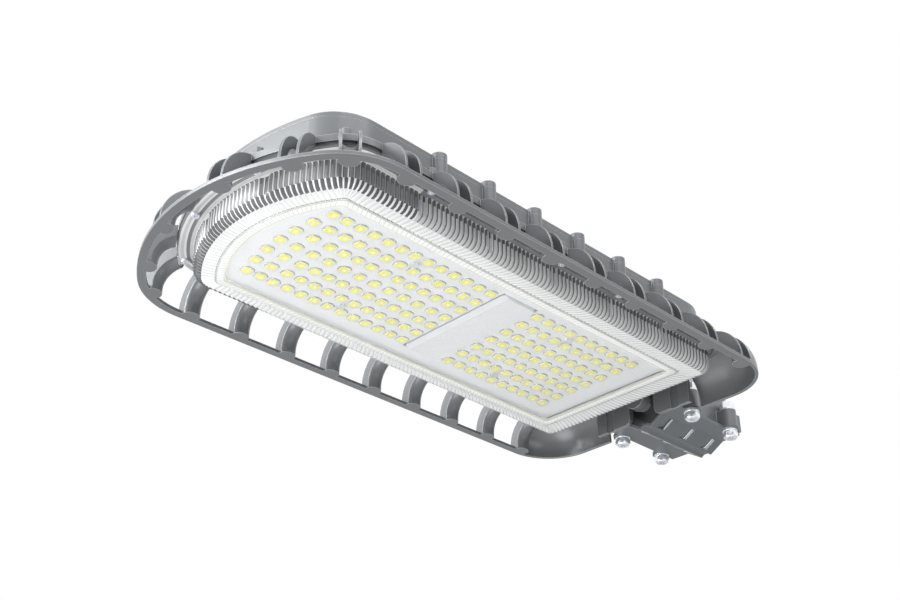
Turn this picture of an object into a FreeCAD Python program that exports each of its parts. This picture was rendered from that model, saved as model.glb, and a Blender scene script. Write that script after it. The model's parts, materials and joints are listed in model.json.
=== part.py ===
import FreeCAD, Part
import math
import os

# LED street light head, in millimetres. The origin is the middle of the pole clamp, on the axis of
# the pole. +X points out of the clamp along the pole, +Z is up, and the LEDs shine down, along -Z.
# Apart from the gear and the breather valve, the lamp is the same on both sides of the plane Y = 0.

# Guard ring, a flat strip seen from below
RING_NOSE_X = -582.3
RING_END_X = -32.0
RING_HALF = 142.0
RING_NOSE_R = 196.0
RING_CORNER_R = 66.0
RING_END_R = 50.0
RING_WIDTH = 7.0
RING_THICK = 3.0
RING_BOTTOM_Z = -30.0

# Spokes, channels open outward that carry the ring in a quarter arc
SPOKE_INSET = 1.0
SPOKE_ARC_R = 33.3
SPOKE_WIDTH = 15.5
SPOKE_DEPTH = 14.3
SPOKE_BACK_RISE = 5.0
SPOKE_WALL = 2.0
SPOKE_PITCH = 50.0
SPOKE_LAST_X = -82.5
SPOKE_COUNT = 9
NOSE_SPOKE_ANGLES = (11.0, 29.0)
CORNER_SPOKE_ANGLE = 54.0

# Skirt that takes the ring's place round the two rear corners
SKIRT_WALL = 3.0

# Flange plate that carries the lens, the ring's spokes and the housing
PLATE_INSET = 27.3
PLATE_BOTTOM_Z = 2.5
PLATE_THICK = 5.8

# Upper housing
HOUSING_NOSE_X = -536.7
HOUSING_END_X = -59.7
HOUSING_HALF = 98.0
HOUSING_NOSE_R = 204.0
HOUSING_CORNER_R = 42.0
HOUSING_TOP_Z = 37.0
HOUSING_WALL = 3.0
BOSS_R = 6.5
BOSS_PITCH = 54.0
BOSS_FIRST_X = -418.5
BOSS_COUNT = 6

# Pan that holds the LED boards, open to the housing above
PAN_INSET = 58.0
PAN_END_X = -92.0
PAN_END_R = 10.0
PAN_WALL = 3.0
PAN_FLOOR = 4.0
BOARD_INSET = 60.0

# LEDs
LED_PLANE_Z = -20.0
LED_PITCH_X = 14.0
LED_PITCH_Y = 18.1
LED_ROWS = 7
LED_SIDE = 5.0
LED_HEIGHT = 0.8
LED_REAR_LAST_X = -135.7
LED_REAR_COLUMNS = 10
LED_FRONT_FIRST_X = -317.7
LED_FRONT_STRAIGHT = 11
LED_FRONT_NOSE_X = -492.0
LED_FRONT_NOSE_R = 184.0
LED_CENTRE_ROW = 12
BOARD_THICK = 1.6
PAD_THICK = 0.5
BOARD_MARGIN = 30.0
BOARD_R = 4.0
BOARD_SCREW_ROW = 2.5
BOARD_SCREW_COLUMN = 5.5

# Cover over the plugs between the two boards
CENTRE_COVER_HALF = 62.0
CENTRE_COVER_PROUD = 2.4
CENTRE_COVER_R = 4.0
CENTRE_COVER_CLEAR = 2.0
CENTRE_COVER_WALL = 1.0

# Lens cover
LENS_WALL_INSET = 41.6
LENS_FLANGE_INSET = 28.1
LENS_FLANGE_Z = 0.6
LENS_FLANGE_THICK = 3.5
LENS_END_X = -73.5
LENS_END_R = 11.0
LENS_FLANGE_MARGIN = 8.0
LENS_BOTTOM_Z = -24.4
LENS_EDGE_R = 8.4
LENS_WALL = 2.4
LENS_PANEL_INSET = 64.0
LENS_PANEL_PROUD = 1.5
LENS_PANEL_CHAMFER = 1.2
LENS_PANEL_R = 4.0
LENS_PANEL_END_X = -103.5
LENS_POCKET_R = 10.5
LENS_SEAL_WIDTH = 1.8
LENS_SEAL_CLEAR = 0.3

# Screws that hold the lens, in pockets of its wall
LENS_SCREW_INSET = 33.0
LENS_SCREW_FIRST_X = -146.0
LENS_SCREW_PITCH = 72.5
LENS_SCREW_SIDE_COUNT = 5
LENS_SCREW_NOSE_ANGLE = 14.0
LENS_SCREW_CORNER_ANGLE = 50.0
LENS_SCREW_D = 4.0
LENS_SCREW_CLEAR = 0.25
LENS_SCREW_HEAD_D = 6.5
LENS_SCREW_HEAD = 2.6
LENS_SCREW_SOCKET = 3.0
LENS_SCREW_SOCKET_DEPTH = 1.8
LENS_SCREW_GRIP = 9.0
LENS_BOSS_R = 3.6
LENS_BOSS_TOP_Z = 15.5

# Pole clamp: saddle above, jaw below
POLE_R = 30.0
POLE_FIT = 0.1
SADDLE_WALL = 4.0
CLAMP_HALF_LENGTH = 49.0
SADDLE_LOWER_Z = -25.5
BOLT_X = 31.4
BOLT_Y = 42.4
BOLT_D = 8.0
BOLT_LENGTH = 35.0
BOLT_HEAD = 5.3
BOLT_HEX = 13.0
BOLT_FACE_R = 5.8
BOLT_EDGE_ANGLE = 48.0
BOLT_HOLE_CLEAR = 0.5
PILLAR_R = 8.0
PILLAR_TOP_Z = -8.0
WASHER_D = 15.0
WASHER_THICK = 1.6
SPRING_D = 13.0
SPRING_THICK = 2.0
SPRING_SPLIT = 1.0
NUT_THICK = 6.5
JAW_THICK = 2.5
JAW_WING_HALF = 41.5
JAW_WING_Z = -28.5
JAW_V_HALF = 21.5
JAW_TIP_HALF = 5.6
JAW_TIP_Z = -38.0
JAW_NOTCH_HALF = 2.2
JAW_NOTCH_Z = -35.6
JAW_EAR_R = 9.0
TOOTH_STATIONS = (-30.5, 4.0, 38.0)
TOOTH_LENGTH = 11.0
TOOTH_SIDE_GAP = 0.3

# Pole stop across the end of the lamp, with the way for the cord
STOP_X = -46.0
STOP_THICK = 4.0
STOP_BACK_THICK = 3.5
STOP_HALF = 56.0
NOTCH_HALF = 15.0
CHEEK_OUTER = 35.0
CHEEK_GROOVE = 9.0
CHEEK_GROOVE_DEPTH = 2.0
CHEEK_ROUND_R = 6.0
WELL_R = 11.0
WELL_WALL = 2.5
WELL_START_X = -64.0
DUCT_BOTTOM_Z = 10.0
DUCT_TOP_Z = 20.0
GLAND_Z = -10.4
GLAND_THREAD_R = 8.0
GLAND_BORE_R = 5.0
GLAND_CORD_R = 4.0
GLAND_HEX = 19.0
GLAND_HEX_THICK = 2.5
GLAND_SEAL_THICK = 2.0
GLAND_DOME_R = 9.5
GLAND_DOME_LENGTH = 4.8
GLAND_DOME_EDGE = 2.0
GLAND_GRIP = 4.0

# Top cover
COVER_GAP = 0.2
COVER_THICK = 3.8
COVER_DOME_INSET = 13.0
COVER_DOME_RISE = 6.0
COVER_EDGE_R = 4.0
COVER_EAR_RISE = 2.0
COVER_SEAT_DEPTH = 3.0
COVER_SEAL_THICK = 1.2
COVER_SEAL_INSET = 0.8
COVER_SEAL_WIDTH = 1.4
COVER_SEAL_CLEAR = 0.2
COVER_SCREW_D = 5.0
COVER_SCREW_GRIP = 12.0
COVER_HEAD_D = 8.5
COVER_HEAD = 2.5
COVER_SCREW_CLEAR = 0.25
COVER_SOCKET = 3.0
COVER_SOCKET_DEPTH = 1.5

# Gear inside the housing
DRIVER_LENGTH = 215.0
DRIVER_WIDTH = 66.0
DRIVER_HEIGHT = 36.0
DRIVER_X = -330.0
DRIVER_ROUND = 4.0
DRIVER_SCREW_HALF = 20.0
FOOT_LENGTH = 14.0
FOOT_THICK = 3.0
FOOT_INSET = 6.0
SURGE_LENGTH = 54.0
SURGE_WIDTH = 34.0
SURGE_HEIGHT = 30.0
SURGE_ROUND = 3.0
SURGE_X = -165.0
SURGE_Y = 32.0
BLOCK_POLES = 3
BLOCK_POLE_WIDTH = 12.0
BLOCK_LENGTH = 26.0
BLOCK_HEIGHT = 18.0
BLOCK_ROUND = 1.5
BLOCK_WELL_R = 3.0
BLOCK_WELL_DEPTH = 7.0
BLOCK_WELL_X = 6.5
BLOCK_X = -160.0
BLOCK_Y = -34.0
SMALL_SCREW_D = 4.0
SMALL_CLEAR = 0.25
SMALL_HEAD_D = 7.6
SMALL_HEAD = 2.4
SMALL_GRIP = 3.0
CLIP_X = -118.0
CLIP_LENGTH = 34.0
CLIP_WIDTH = 10.0
CLIP_BAR = 4.0
CLIP_GAP = 8.0
EARTH_Y = 60.0
EARTH_X = -112.0

# Breather valve in the end wall of the housing, beside the saddle
VALVE_R = 7.0
VALVE_HEAD = 4.0
VALVE_Y = 44.0
VALVE_Z = 25.0
VALVE_THREAD_R = 5.0

V = FreeCAD.Vector
UP = V(0, 0, 1)
ALONG_X = V(1, 0, 0)
ORIGIN = V(0, 0, 0)
OVERLAP = 0.5

ring_top_z = RING_BOTTOM_Z + RING_THICK
plate_top_z = PLATE_BOTTOM_Z + PLATE_THICK
board_bottom_z = LED_PLANE_Z + LED_HEIGHT
board_top_z = board_bottom_z + BOARD_THICK
pan_bottom_z = board_top_z + PAD_THICK
pan_floor_z = pan_bottom_z + PAN_FLOOR
cover_bottom_z = HOUSING_TOP_Z + COVER_GAP
cover_seal_z = HOUSING_TOP_Z + COVER_SEAL_THICK
cover_flange_z = cover_bottom_z + COVER_THICK
cover_ear_z = cover_flange_z + COVER_EAR_RISE
cover_seat_z = cover_ear_z - COVER_SEAT_DEPTH
spoke_arc_z = plate_top_z - SPOKE_ARC_R
stop_front_x = STOP_X - STOP_BACK_THICK - STOP_THICK


def save(name, shape):
    """Write one piece."""
    shape.exportStep("parts/" + name + ".step")


def fuse(shapes):
    """Join solids that are one casting or moulding."""
    return shapes[0].multiFuse(shapes[1:]).removeSplitter()


def group(shapes):
    """Keep like solids together without joining them."""
    return Part.makeCompound(shapes)


def box(x0, x1, y0, y1, z0, z1):
    return Part.makeBox(x1 - x0, y1 - y0, z1 - z0, V(x0, y0, z0))


def rod(radius, x, y, z0, z1):
    """Upright round bar."""
    return Part.makeCylinder(radius, z1 - z0, V(x, y, z0))


def hexagon(across, x, y, z0, z1):
    """Upright hexagonal bar, measured across its flats."""
    radius = across / math.sqrt(3.0)
    corners = []
    for k in range(7):
        turn = math.radians(60.0 * k)
        corners.append(V(x + radius * math.cos(turn), y + radius * math.sin(turn), z0))
    return Part.Face(Part.makePolygon(corners)).extrude(UP * (z1 - z0))


def both_sides(shape):
    """A piece and its mirror image on the other side of the lamp."""
    return [shape, shape.mirror(ORIGIN, V(0, 1, 0))]


def plan_face(nose_x, nose_r, half, corner_r, end_x, end_r, z):
    """Outline seen from above: a round nose, straight sides and two rounded rear corners.

    The nose is one large arc, tangent to two corner arcs, which are tangent to the sides.
    """
    nose_c = nose_x + nose_r
    corner_y = half - corner_r
    reach = nose_r - corner_r
    corner_x = nose_c - math.sqrt(reach * reach - corner_y * corner_y)
    join_x = nose_c + (corner_x - nose_c) * nose_r / reach
    join_y = corner_y * nose_r / reach
    middle = math.radians(180.0) - 0.5 * (math.atan2(corner_y, nose_c - corner_x) + math.radians(90.0))
    mid_x = corner_x + corner_r * math.cos(middle)
    mid_y = corner_y + corner_r * math.sin(middle)
    end_c = end_x - end_r
    end_y = half - end_r
    slant = end_r * math.sqrt(0.5)

    def at(x, y):
        return V(x, y, z)

    edges = [
        Part.Arc(at(join_x, -join_y), at(nose_x, 0), at(join_x, join_y)).toShape(),
        Part.Arc(at(join_x, join_y), at(mid_x, mid_y), at(corner_x, half)).toShape(),
        Part.makeLine(at(corner_x, half), at(end_c, half)),
        Part.Arc(at(end_c, half), at(end_c + slant, end_y + slant), at(end_x, end_y)).toShape(),
        Part.makeLine(at(end_x, end_y), at(end_x, -end_y)),
        Part.Arc(at(end_x, -end_y), at(end_c + slant, -end_y - slant), at(end_c, -half)).toShape(),
        Part.makeLine(at(end_c, -half), at(corner_x, -half)),
        Part.Arc(at(corner_x, -half), at(mid_x, -mid_y), at(join_x, -join_y)).toShape(),
    ]
    return Part.Face(Part.Wire(edges))


def ring_plan(inset, z0, z1, end_x=None, end_r=None):
    """Prism whose outline runs beside the ring's outer edge, moved in by the inset."""
    if end_x is None:
        end_x = RING_END_X - inset
    if end_r is None:
        end_r = RING_END_R - inset
    face = plan_face(RING_NOSE_X + inset, RING_NOSE_R - inset, RING_HALF - inset,
                     RING_CORNER_R - inset, end_x, end_r, z0)
    return face.extrude(UP * (z1 - z0))


def housing_plan(inset, z0, z1):
    """Prism whose outline runs beside the housing wall, moved in by the inset."""
    face = plan_face(HOUSING_NOSE_X + inset, HOUSING_NOSE_R - inset, HOUSING_HALF - inset,
                     HOUSING_CORNER_R - inset, HOUSING_END_X - inset, HOUSING_CORNER_R - inset, z0)
    return face.extrude(UP * (z1 - z0))


def nose_centre_x():
    return RING_NOSE_X + RING_NOSE_R


def corner_centre():
    """Centre of the ring's front corner arc on the far side."""
    y = RING_HALF - RING_CORNER_R
    reach = RING_NOSE_R - RING_CORNER_R
    return nose_centre_x() - math.sqrt(reach * reach - y * y), y


def nose_point(inset, angle):
    """Place on the nose arc and the direction that faces outward there, in degrees."""
    turn = math.radians(180.0 - angle)
    radius = RING_NOSE_R - inset
    return nose_centre_x() + radius * math.cos(turn), radius * math.sin(turn), 180.0 - angle


def corner_point(inset, angle):
    """The same on the front corner arc."""
    x, y = corner_centre()
    turn = math.radians(180.0 - angle)
    radius = RING_CORNER_R - inset
    return x + radius * math.cos(turn), y + radius * math.sin(turn), 180.0 - angle


def boss_places():
    places = []
    for k in range(BOSS_COUNT):
        places.append((BOSS_FIRST_X + k * BOSS_PITCH, HOUSING_HALF))
    return places


def lens_screw_places():
    """Screws of the lens on the far side: along the side, at the front corner and on the nose."""
    places = []
    for k in range(LENS_SCREW_SIDE_COUNT):
        places.append((LENS_SCREW_FIRST_X - k * LENS_SCREW_PITCH, RING_HALF - LENS_SCREW_INSET))
    places.append(corner_point(LENS_SCREW_INSET, LENS_SCREW_CORNER_ANGLE)[:2])
    places.append(nose_point(LENS_SCREW_INSET, LENS_SCREW_NOSE_ANGLE)[:2])
    return places


def lens_pockets(wall):
    """Round scallops in the lens wall that give a driver room at each screw, or their wall."""
    rods = []
    top = LENS_FLANGE_Z if wall > 0 else LENS_FLANGE_Z - LENS_FLANGE_THICK
    for x, y in lens_screw_places():
        rods += both_sides(rod(LENS_POCKET_R + wall, x, y, LENS_BOTTOM_Z - OVERLAP, top))
    return group(rods)


def bolt_places():
    return [(x, y) for x in (-BOLT_X, BOLT_X) for y in (-BOLT_Y, BOLT_Y)]


def channel_face(wall):
    """Section of a spoke across its length, a channel with a round back, in the plane of its foot."""
    half = 0.5 * SPOKE_WIDTH
    back = SPOKE_ARC_R - SPOKE_DEPTH
    bend = back + SPOKE_BACK_RISE
    rim = SPOKE_ARC_R
    inner = half - wall
    z = spoke_arc_z
    edges = [
        Part.makeLine(V(rim, -half, z), V(bend, -half, z)),
        Part.Arc(V(bend, -half, z), V(back, 0, z), V(bend, half, z)).toShape(),
        Part.makeLine(V(bend, half, z), V(rim, half, z)),
    ]
    if inner > 0:
        edges += [
            Part.makeLine(V(rim, half, z), V(rim, inner, z)),
            Part.makeLine(V(rim, inner, z), V(bend, inner, z)),
            Part.Arc(V(bend, inner, z), V(back + wall, 0, z), V(bend, -inner, z)).toShape(),
            Part.makeLine(V(bend, -inner, z), V(rim, -inner, z)),
            Part.makeLine(V(rim, -inner, z), V(rim, -half, z)),
        ]
    else:
        edges.append(Part.makeLine(V(rim, half, z), V(rim, -half, z)))
    return Part.Face(Part.Wire(edges))


def spoke():
    """One spoke: X outward from the centre of its arc, Y along the ring."""
    plate_reach = SPOKE_INSET + SPOKE_ARC_R - PLATE_INSET
    sweep = math.degrees(math.acos(0.5 * plate_reach / SPOKE_ARC_R))
    section = channel_face(SPOKE_WALL)
    arc = section.revolve(V(0, 0, spoke_arc_z), V(0, -1, 0), sweep)
    leg = section.extrude(UP * (RING_BOTTOM_Z - spoke_arc_z))
    sole = channel_face(SPOKE_WIDTH).extrude(UP * RING_THICK)
    sole.translate(V(0, 0, RING_BOTTOM_Z - spoke_arc_z))
    return fuse([arc, leg, sole])


def spoke_places():
    """Arc centre and outward direction of each spoke on the far side."""
    inset = SPOKE_INSET + SPOKE_ARC_R
    places = []
    for k in range(SPOKE_COUNT):
        places.append((SPOKE_LAST_X - k * SPOKE_PITCH, RING_HALF - inset, 90.0))
    places.append(corner_point(inset, CORNER_SPOKE_ANGLE))
    for angle in NOSE_SPOKE_ANGLES:
        places.append(nose_point(inset, angle))
    return places


def spokes():
    master = spoke()
    solids = []
    for x, y, direction in spoke_places():
        piece = master.copy()
        piece.rotate(ORIGIN, UP, direction)
        piece.translate(V(x, y, 0))
        solids += both_sides(piece)
    return solids


def skirt_face():
    """Section of the skirt: a closed sheet just outside the spokes' arc, X outward from its centre."""
    outer = SPOKE_ARC_R + SPOKE_INSET
    inner = outer - SKIRT_WALL
    z = plate_top_z - outer
    root = 0.5 * PLATE_THICK
    turn_out = math.acos(root / outer)
    turn_in = math.acos(root / inner)

    def arc_point(radius, turn):
        return V(radius * math.cos(turn), 0, z + radius * math.sin(turn))

    edges = [
        Part.makeLine(V(inner, 0, RING_BOTTOM_Z), V(outer, 0, RING_BOTTOM_Z)),
        Part.makeLine(V(outer, 0, RING_BOTTOM_Z), V(outer, 0, z)),
        Part.Arc(V(outer, 0, z), arc_point(outer, 0.5 * turn_out), arc_point(outer, turn_out)).toShape(),
        Part.makeLine(arc_point(outer, turn_out), arc_point(inner, turn_in)),
        Part.Arc(arc_point(inner, turn_in), arc_point(inner, 0.5 * turn_in), V(inner, 0, z)).toShape(),
        Part.makeLine(V(inner, 0, z), V(inner, 0, RING_BOTTOM_Z)),
    ]
    return Part.Face(Part.Wire(edges))


def skirt_start_x():
    """Where the ring ends and the skirt begins, in the rear wall of the last spoke."""
    return SPOKE_LAST_X + 0.5 * (SPOKE_WIDTH - SPOKE_WALL)


def skirt():
    """Skirt on the far side: the turn round the corner and the stretch to the pole stop."""
    corner_x = RING_END_X - RING_END_R
    corner_y = RING_HALF - RING_END_R
    bend = RING_END_R - SPOKE_INSET - SPOKE_ARC_R
    rear = skirt_face()
    rear.translate(V(corner_x + bend, corner_y, 0))
    turn = rear.revolve(V(corner_x, corner_y, 0), UP, 90.0)
    before = box(corner_x - OVERLAP, skirt_start_x(), corner_y, RING_HALF + OVERLAP,
                 RING_BOTTOM_Z, plate_top_z)
    end = rear.extrude(V(0, STOP_HALF - corner_y, 0))
    return [turn.cut(before), end]


def ring():
    outline = ring_plan(0.0, RING_BOTTOM_Z, ring_top_z)
    opening = ring_plan(RING_WIDTH, RING_BOTTOM_Z, ring_top_z)
    rear = box(skirt_start_x(), RING_END_X, -RING_HALF, RING_HALF, RING_BOTTOM_Z, ring_top_z)
    return outline.cut(opening).cut(rear)


def pan_outline(inset, z0, z1):
    return ring_plan(PAN_INSET + inset, z0, z1, PAN_END_X - inset, PAN_END_R - inset)


def saddle():
    """Upper half of the pole clamp with its bolt pillars, from the housing's end to the pole's end."""
    outer = POLE_R + SADDLE_WALL
    start = HOUSING_END_X - HOUSING_WALL
    length = CLAMP_HALF_LENGTH - start
    tube = Part.makeCylinder(outer, length, V(start, 0, 0), ALONG_X)
    upper = tube.common(box(start, CLAMP_HALF_LENGTH, -outer, outer, 0, outer))
    walls = box(STOP_X, CLAMP_HALF_LENGTH, -outer, outer, SADDLE_LOWER_Z, 0)
    solids = [upper, walls]
    for x, y in bolt_places():
        side = math.copysign(1.0, y)
        solids.append(rod(PILLAR_R, x, y, SADDLE_LOWER_Z, PILLAR_TOP_Z))
        web_y = sorted((side * (outer - OVERLAP), y))
        solids.append(box(x - PILLAR_R, x + PILLAR_R, web_y[0], web_y[1], SADDLE_LOWER_Z, PILLAR_TOP_Z))
    return solids


def shoulder():
    """Gusset plate between the skirt's end and the saddle, as a tapered sheet."""
    points = [V(HOUSING_END_X, STOP_HALF, PLATE_BOTTOM_Z),
              V(RING_END_X - PLATE_INSET + OVERLAP, STOP_HALF, PLATE_BOTTOM_Z),
              V(-BOLT_X + PILLAR_R, POLE_R + 0.5 * SADDLE_WALL, PLATE_BOTTOM_Z),
              V(HOUSING_END_X, POLE_R + 0.5 * SADDLE_WALL, PLATE_BOTTOM_Z)]
    face = Part.Face(Part.makePolygon(points + points[:1]))
    return face.extrude(UP * PLATE_THICK)


def pole_stop():
    """Wall across the end of the lamp, with the notch for the cord and a groove beside each cheek."""
    front = stop_front_x
    back = front + STOP_THICK
    wall = box(front, back, -STOP_HALF, STOP_HALF, RING_BOTTOM_Z, plate_top_z)
    seat = box(back, STOP_X, -POLE_R - SADDLE_WALL, POLE_R + SADDLE_WALL, SADDLE_LOWER_Z, 0)
    wall = fuse([wall, seat])
    notch = box(front, STOP_X, -NOTCH_HALF, NOTCH_HALF, RING_BOTTOM_Z, PLATE_BOTTOM_Z)
    cheek = box(front, STOP_X, NOTCH_HALF - CHEEK_ROUND_R, NOTCH_HALF + CHEEK_ROUND_R,
                RING_BOTTOM_Z, RING_BOTTOM_Z + CHEEK_ROUND_R)
    tool = Part.makeCylinder(CHEEK_ROUND_R, STOP_X - front,
                             V(front, NOTCH_HALF + CHEEK_ROUND_R, RING_BOTTOM_Z + CHEEK_ROUND_R), ALONG_X)
    rounding = cheek.cut(tool)
    groove = box(front, front + CHEEK_GROOVE_DEPTH, CHEEK_OUTER, CHEEK_OUTER + CHEEK_GROOVE,
                 RING_BOTTOM_Z, PLATE_BOTTOM_Z)
    return wall.cut(group([notch] + both_sides(rounding) + both_sides(groove)))


def gland_well():
    """Round sleeve under the plate, and the way from its gland up behind the stop into the housing."""
    start = WELL_START_X + WELL_WALL
    end = stop_front_x - WELL_WALL
    inner = WELL_R - WELL_WALL
    sleeve = Part.makeCylinder(WELL_R, stop_front_x - WELL_START_X, V(WELL_START_X, 0, GLAND_Z), ALONG_X)
    neck = box(WELL_START_X, stop_front_x, -WELL_R, WELL_R, GLAND_Z, PLATE_BOTTOM_Z + OVERLAP)
    pocket = Part.makeCylinder(inner, end - start, V(start, 0, GLAND_Z), ALONG_X)
    riser = box(start, end, -inner, inner, GLAND_Z, DUCT_TOP_Z)
    duct = box(HOUSING_END_X - HOUSING_WALL - OVERLAP, end, -inner, inner, DUCT_BOTTOM_Z, DUCT_TOP_Z)
    return fuse([sleeve, neck]), fuse([pocket, riser, duct])


def body_casting():
    """Ring, spokes, skirt, plate, pan, housing wall, pole stop and saddle, cast in one piece."""
    plate = ring_plan(PLATE_INSET, PLATE_BOTTOM_Z, plate_top_z)
    below_plate = ring_plan(PLATE_INSET, RING_BOTTOM_Z, PLATE_BOTTOM_Z)
    guards = [solid.cut(below_plate) for solid in spokes()]
    corner_skirts = []
    for solid in skirt():
        corner_skirts += both_sides(solid)
    wall = housing_plan(0.0, plate_top_z, HOUSING_TOP_Z)
    hollow = housing_plan(HOUSING_WALL, plate_top_z, HOUSING_TOP_Z)
    bosses = []
    for x, y in boss_places():
        bosses += both_sides(rod(BOSS_R, x, y, plate_top_z - OVERLAP, HOUSING_TOP_Z))
    posts = []
    for x, y in lens_screw_places():
        posts += both_sides(rod(LENS_BOSS_R, x, y, plate_top_z - OVERLAP, LENS_BOSS_TOP_Z))
    pan = pan_outline(0.0, pan_bottom_z, PLATE_BOTTOM_Z + OVERLAP)
    pan_space = pan_outline(PAN_WALL, pan_floor_z, plate_top_z)
    well, cord_riser = gland_well()

    shell = fuse([plate, wall, pan, well])
    shell = shell.cut(group([hollow, pan_space]))
    body = fuse([shell, ring(), pole_stop()] + both_sides(shoulder()) + saddle() + corner_skirts
                + guards + bosses + posts)

    pole_space = Part.makeCylinder(POLE_R + POLE_FIT, CLAMP_HALF_LENGTH - STOP_X, V(STOP_X, 0, 0), ALONG_X)
    pole_way = box(STOP_X, CLAMP_HALF_LENGTH, -POLE_R - POLE_FIT, POLE_R + POLE_FIT, RING_BOTTOM_Z, 0)
    cord_way = box(stop_front_x, STOP_X, -NOTCH_HALF, NOTCH_HALF, RING_BOTTOM_Z, PLATE_BOTTOM_Z)
    holes = [pole_space, pole_way, cord_way, cord_riser]
    for x, y in bolt_places():
        holes.append(rod(0.5 * BOLT_D + BOLT_HOLE_CLEAR, x, y, RING_BOTTOM_Z, plate_top_z))
    for x, y in boss_places():
        holes += both_sides(rod(0.5 * COVER_SCREW_D, x, y, HOUSING_TOP_Z - COVER_SCREW_GRIP, HOUSING_TOP_Z))
    for x, y in lens_screw_places():
        holes += both_sides(rod(0.5 * LENS_SCREW_D, x, y, PLATE_BOTTOM_Z, PLATE_BOTTOM_Z + LENS_SCREW_GRIP))
    for x, y in small_screw_places():
        holes.append(rod(0.5 * SMALL_SCREW_D, x, y, pan_floor_z - SMALL_GRIP, pan_floor_z))
    for x, y in board_screw_places():
        holes.append(rod(0.5 * SMALL_SCREW_D, x, y, pan_bottom_z, pan_bottom_z + SMALL_GRIP))
    holes.append(Part.makeCylinder(GLAND_THREAD_R, GLAND_GRIP, V(stop_front_x - GLAND_GRIP, 0, GLAND_Z),
                                   ALONG_X))
    holes.append(along_x(rod(VALVE_THREAD_R, 0, 0, -HOUSING_WALL, 0), HOUSING_END_X, VALVE_Y, VALVE_Z))
    return body.cut(group(holes)).removeSplitter()


def led_rows():
    return [(row - 0.5 * (LED_ROWS - 1)) * LED_PITCH_Y for row in range(LED_ROWS)]


def rear_led_places():
    places = []
    for y in led_rows():
        for k in range(LED_REAR_COLUMNS):
            places.append((LED_REAR_LAST_X - k * LED_PITCH_X, y))
    return places


def front_led_places():
    """Straight columns, then two that bend with the nose. The middle row is spread evenly."""
    places = []
    for y in led_rows():
        nose = LED_FRONT_NOSE_X + LED_FRONT_NOSE_R - math.sqrt(LED_FRONT_NOSE_R ** 2 - y * y)
        if abs(y) < 0.5 * LED_PITCH_Y:
            step = (LED_FRONT_FIRST_X - nose) / (LED_CENTRE_ROW - 1)
            places += [(LED_FRONT_FIRST_X - k * step, y) for k in range(LED_CENTRE_ROW)]
            continue
        last_straight = LED_FRONT_FIRST_X - (LED_FRONT_STRAIGHT - 1) * LED_PITCH_X
        places += [(LED_FRONT_FIRST_X - k * LED_PITCH_X, y) for k in range(LED_FRONT_STRAIGHT)]
        places += [(0.5 * (last_straight + nose), y), (nose, y)]
    return places


def emitters(places):
    half = 0.5 * LED_SIDE
    return group([box(x - half, x + half, y - half, y + half, LED_PLANE_Z, board_bottom_z)
                  for x, y in places])


def board_screw_places():
    """Two screws through each board, in the space between the outer pairs of rows."""
    y = BOARD_SCREW_ROW * LED_PITCH_Y
    step = BOARD_SCREW_COLUMN * LED_PITCH_X
    return [(x - step, side * y) for x in (LED_FRONT_FIRST_X, LED_REAR_LAST_X) for side in (-1, 1)]


def board_edges():
    """Facing edges of the front and the rear board, half a pitch past their last LEDs."""
    front = LED_FRONT_FIRST_X + 0.5 * LED_PITCH_X
    rear = LED_REAR_LAST_X - (LED_REAR_COLUMNS - 0.5) * LED_PITCH_X
    return front, rear


def split_boards(z0, z1):
    """The front and the rear board, or the pads under them, with their screw holes."""
    front_edge, rear_edge = board_edges()
    sheet = ring_plan(BOARD_INSET, z0, z1, LED_REAR_LAST_X + BOARD_MARGIN, BOARD_R)
    sheet = drilled(sheet, board_screw_places(), 0.5 * SMALL_SCREW_D + SMALL_CLEAR, z0, z1)
    front = sheet.common(box(RING_NOSE_X, front_edge, -RING_HALF, RING_HALF, z0, z1))
    rear = sheet.common(box(rear_edge, RING_END_X, -RING_HALF, RING_HALF, z0, z1))
    return front, rear


def pan_screw(x, y, seat_z, head_sign, grip):
    """Small round-headed screw: its head on the seat, its shank past it on the other side."""
    head = sorted((seat_z, seat_z + head_sign * SMALL_HEAD))
    shank = sorted((seat_z, seat_z - head_sign * grip))
    return fuse([rod(0.5 * SMALL_HEAD_D, x, y, head[0], head[1]),
                 rod(0.5 * SMALL_SCREW_D, x, y, shank[0], shank[1])])


def driver_screw_places():
    x = 0.5 * (DRIVER_LENGTH + FOOT_LENGTH)
    return [(DRIVER_X + sx * x, sy * DRIVER_SCREW_HALF) for sx in (-1, 1) for sy in (-1, 1)]


def surge_screw_places():
    x = 0.5 * (SURGE_LENGTH + FOOT_LENGTH)
    return [(SURGE_X + sx * x, SURGE_Y) for sx in (-1, 1)]


def block_screw_places():
    x = 0.5 * (BLOCK_LENGTH + FOOT_LENGTH)
    return [(BLOCK_X + sx * x, BLOCK_Y) for sx in (-1, 1)]


def clip_screw_places():
    return [(CLIP_X, sy * (0.5 * CLIP_LENGTH - CLIP_BAR)) for sy in (-1, 1)]


def small_screw_places():
    return (driver_screw_places() + surge_screw_places() + block_screw_places() + clip_screw_places()
            + [(EARTH_X, EARTH_Y)])


def case_with_feet(x, y, length, width, height, round_r):
    """Closed metal or plastic case with a foot at each end."""
    case = box(x - 0.5 * length, x + 0.5 * length, y - 0.5 * width, y + 0.5 * width,
               pan_floor_z, pan_floor_z + height)
    upright = [edge for edge in case.Edges if edge.BoundBox.ZLength > 0.5 * height]
    case = case.makeFillet(round_r, upright)
    reach = 0.5 * length + FOOT_LENGTH
    half = 0.5 * width - FOOT_INSET
    foot = box(x - reach, x + reach, y - half, y + half, pan_floor_z, pan_floor_z + FOOT_THICK)
    return fuse([case, foot])


def drilled(shape, places, radius, z0, z1):
    return shape.cut(group([rod(radius, x, y, z0, z1) for x, y in places]))


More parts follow.
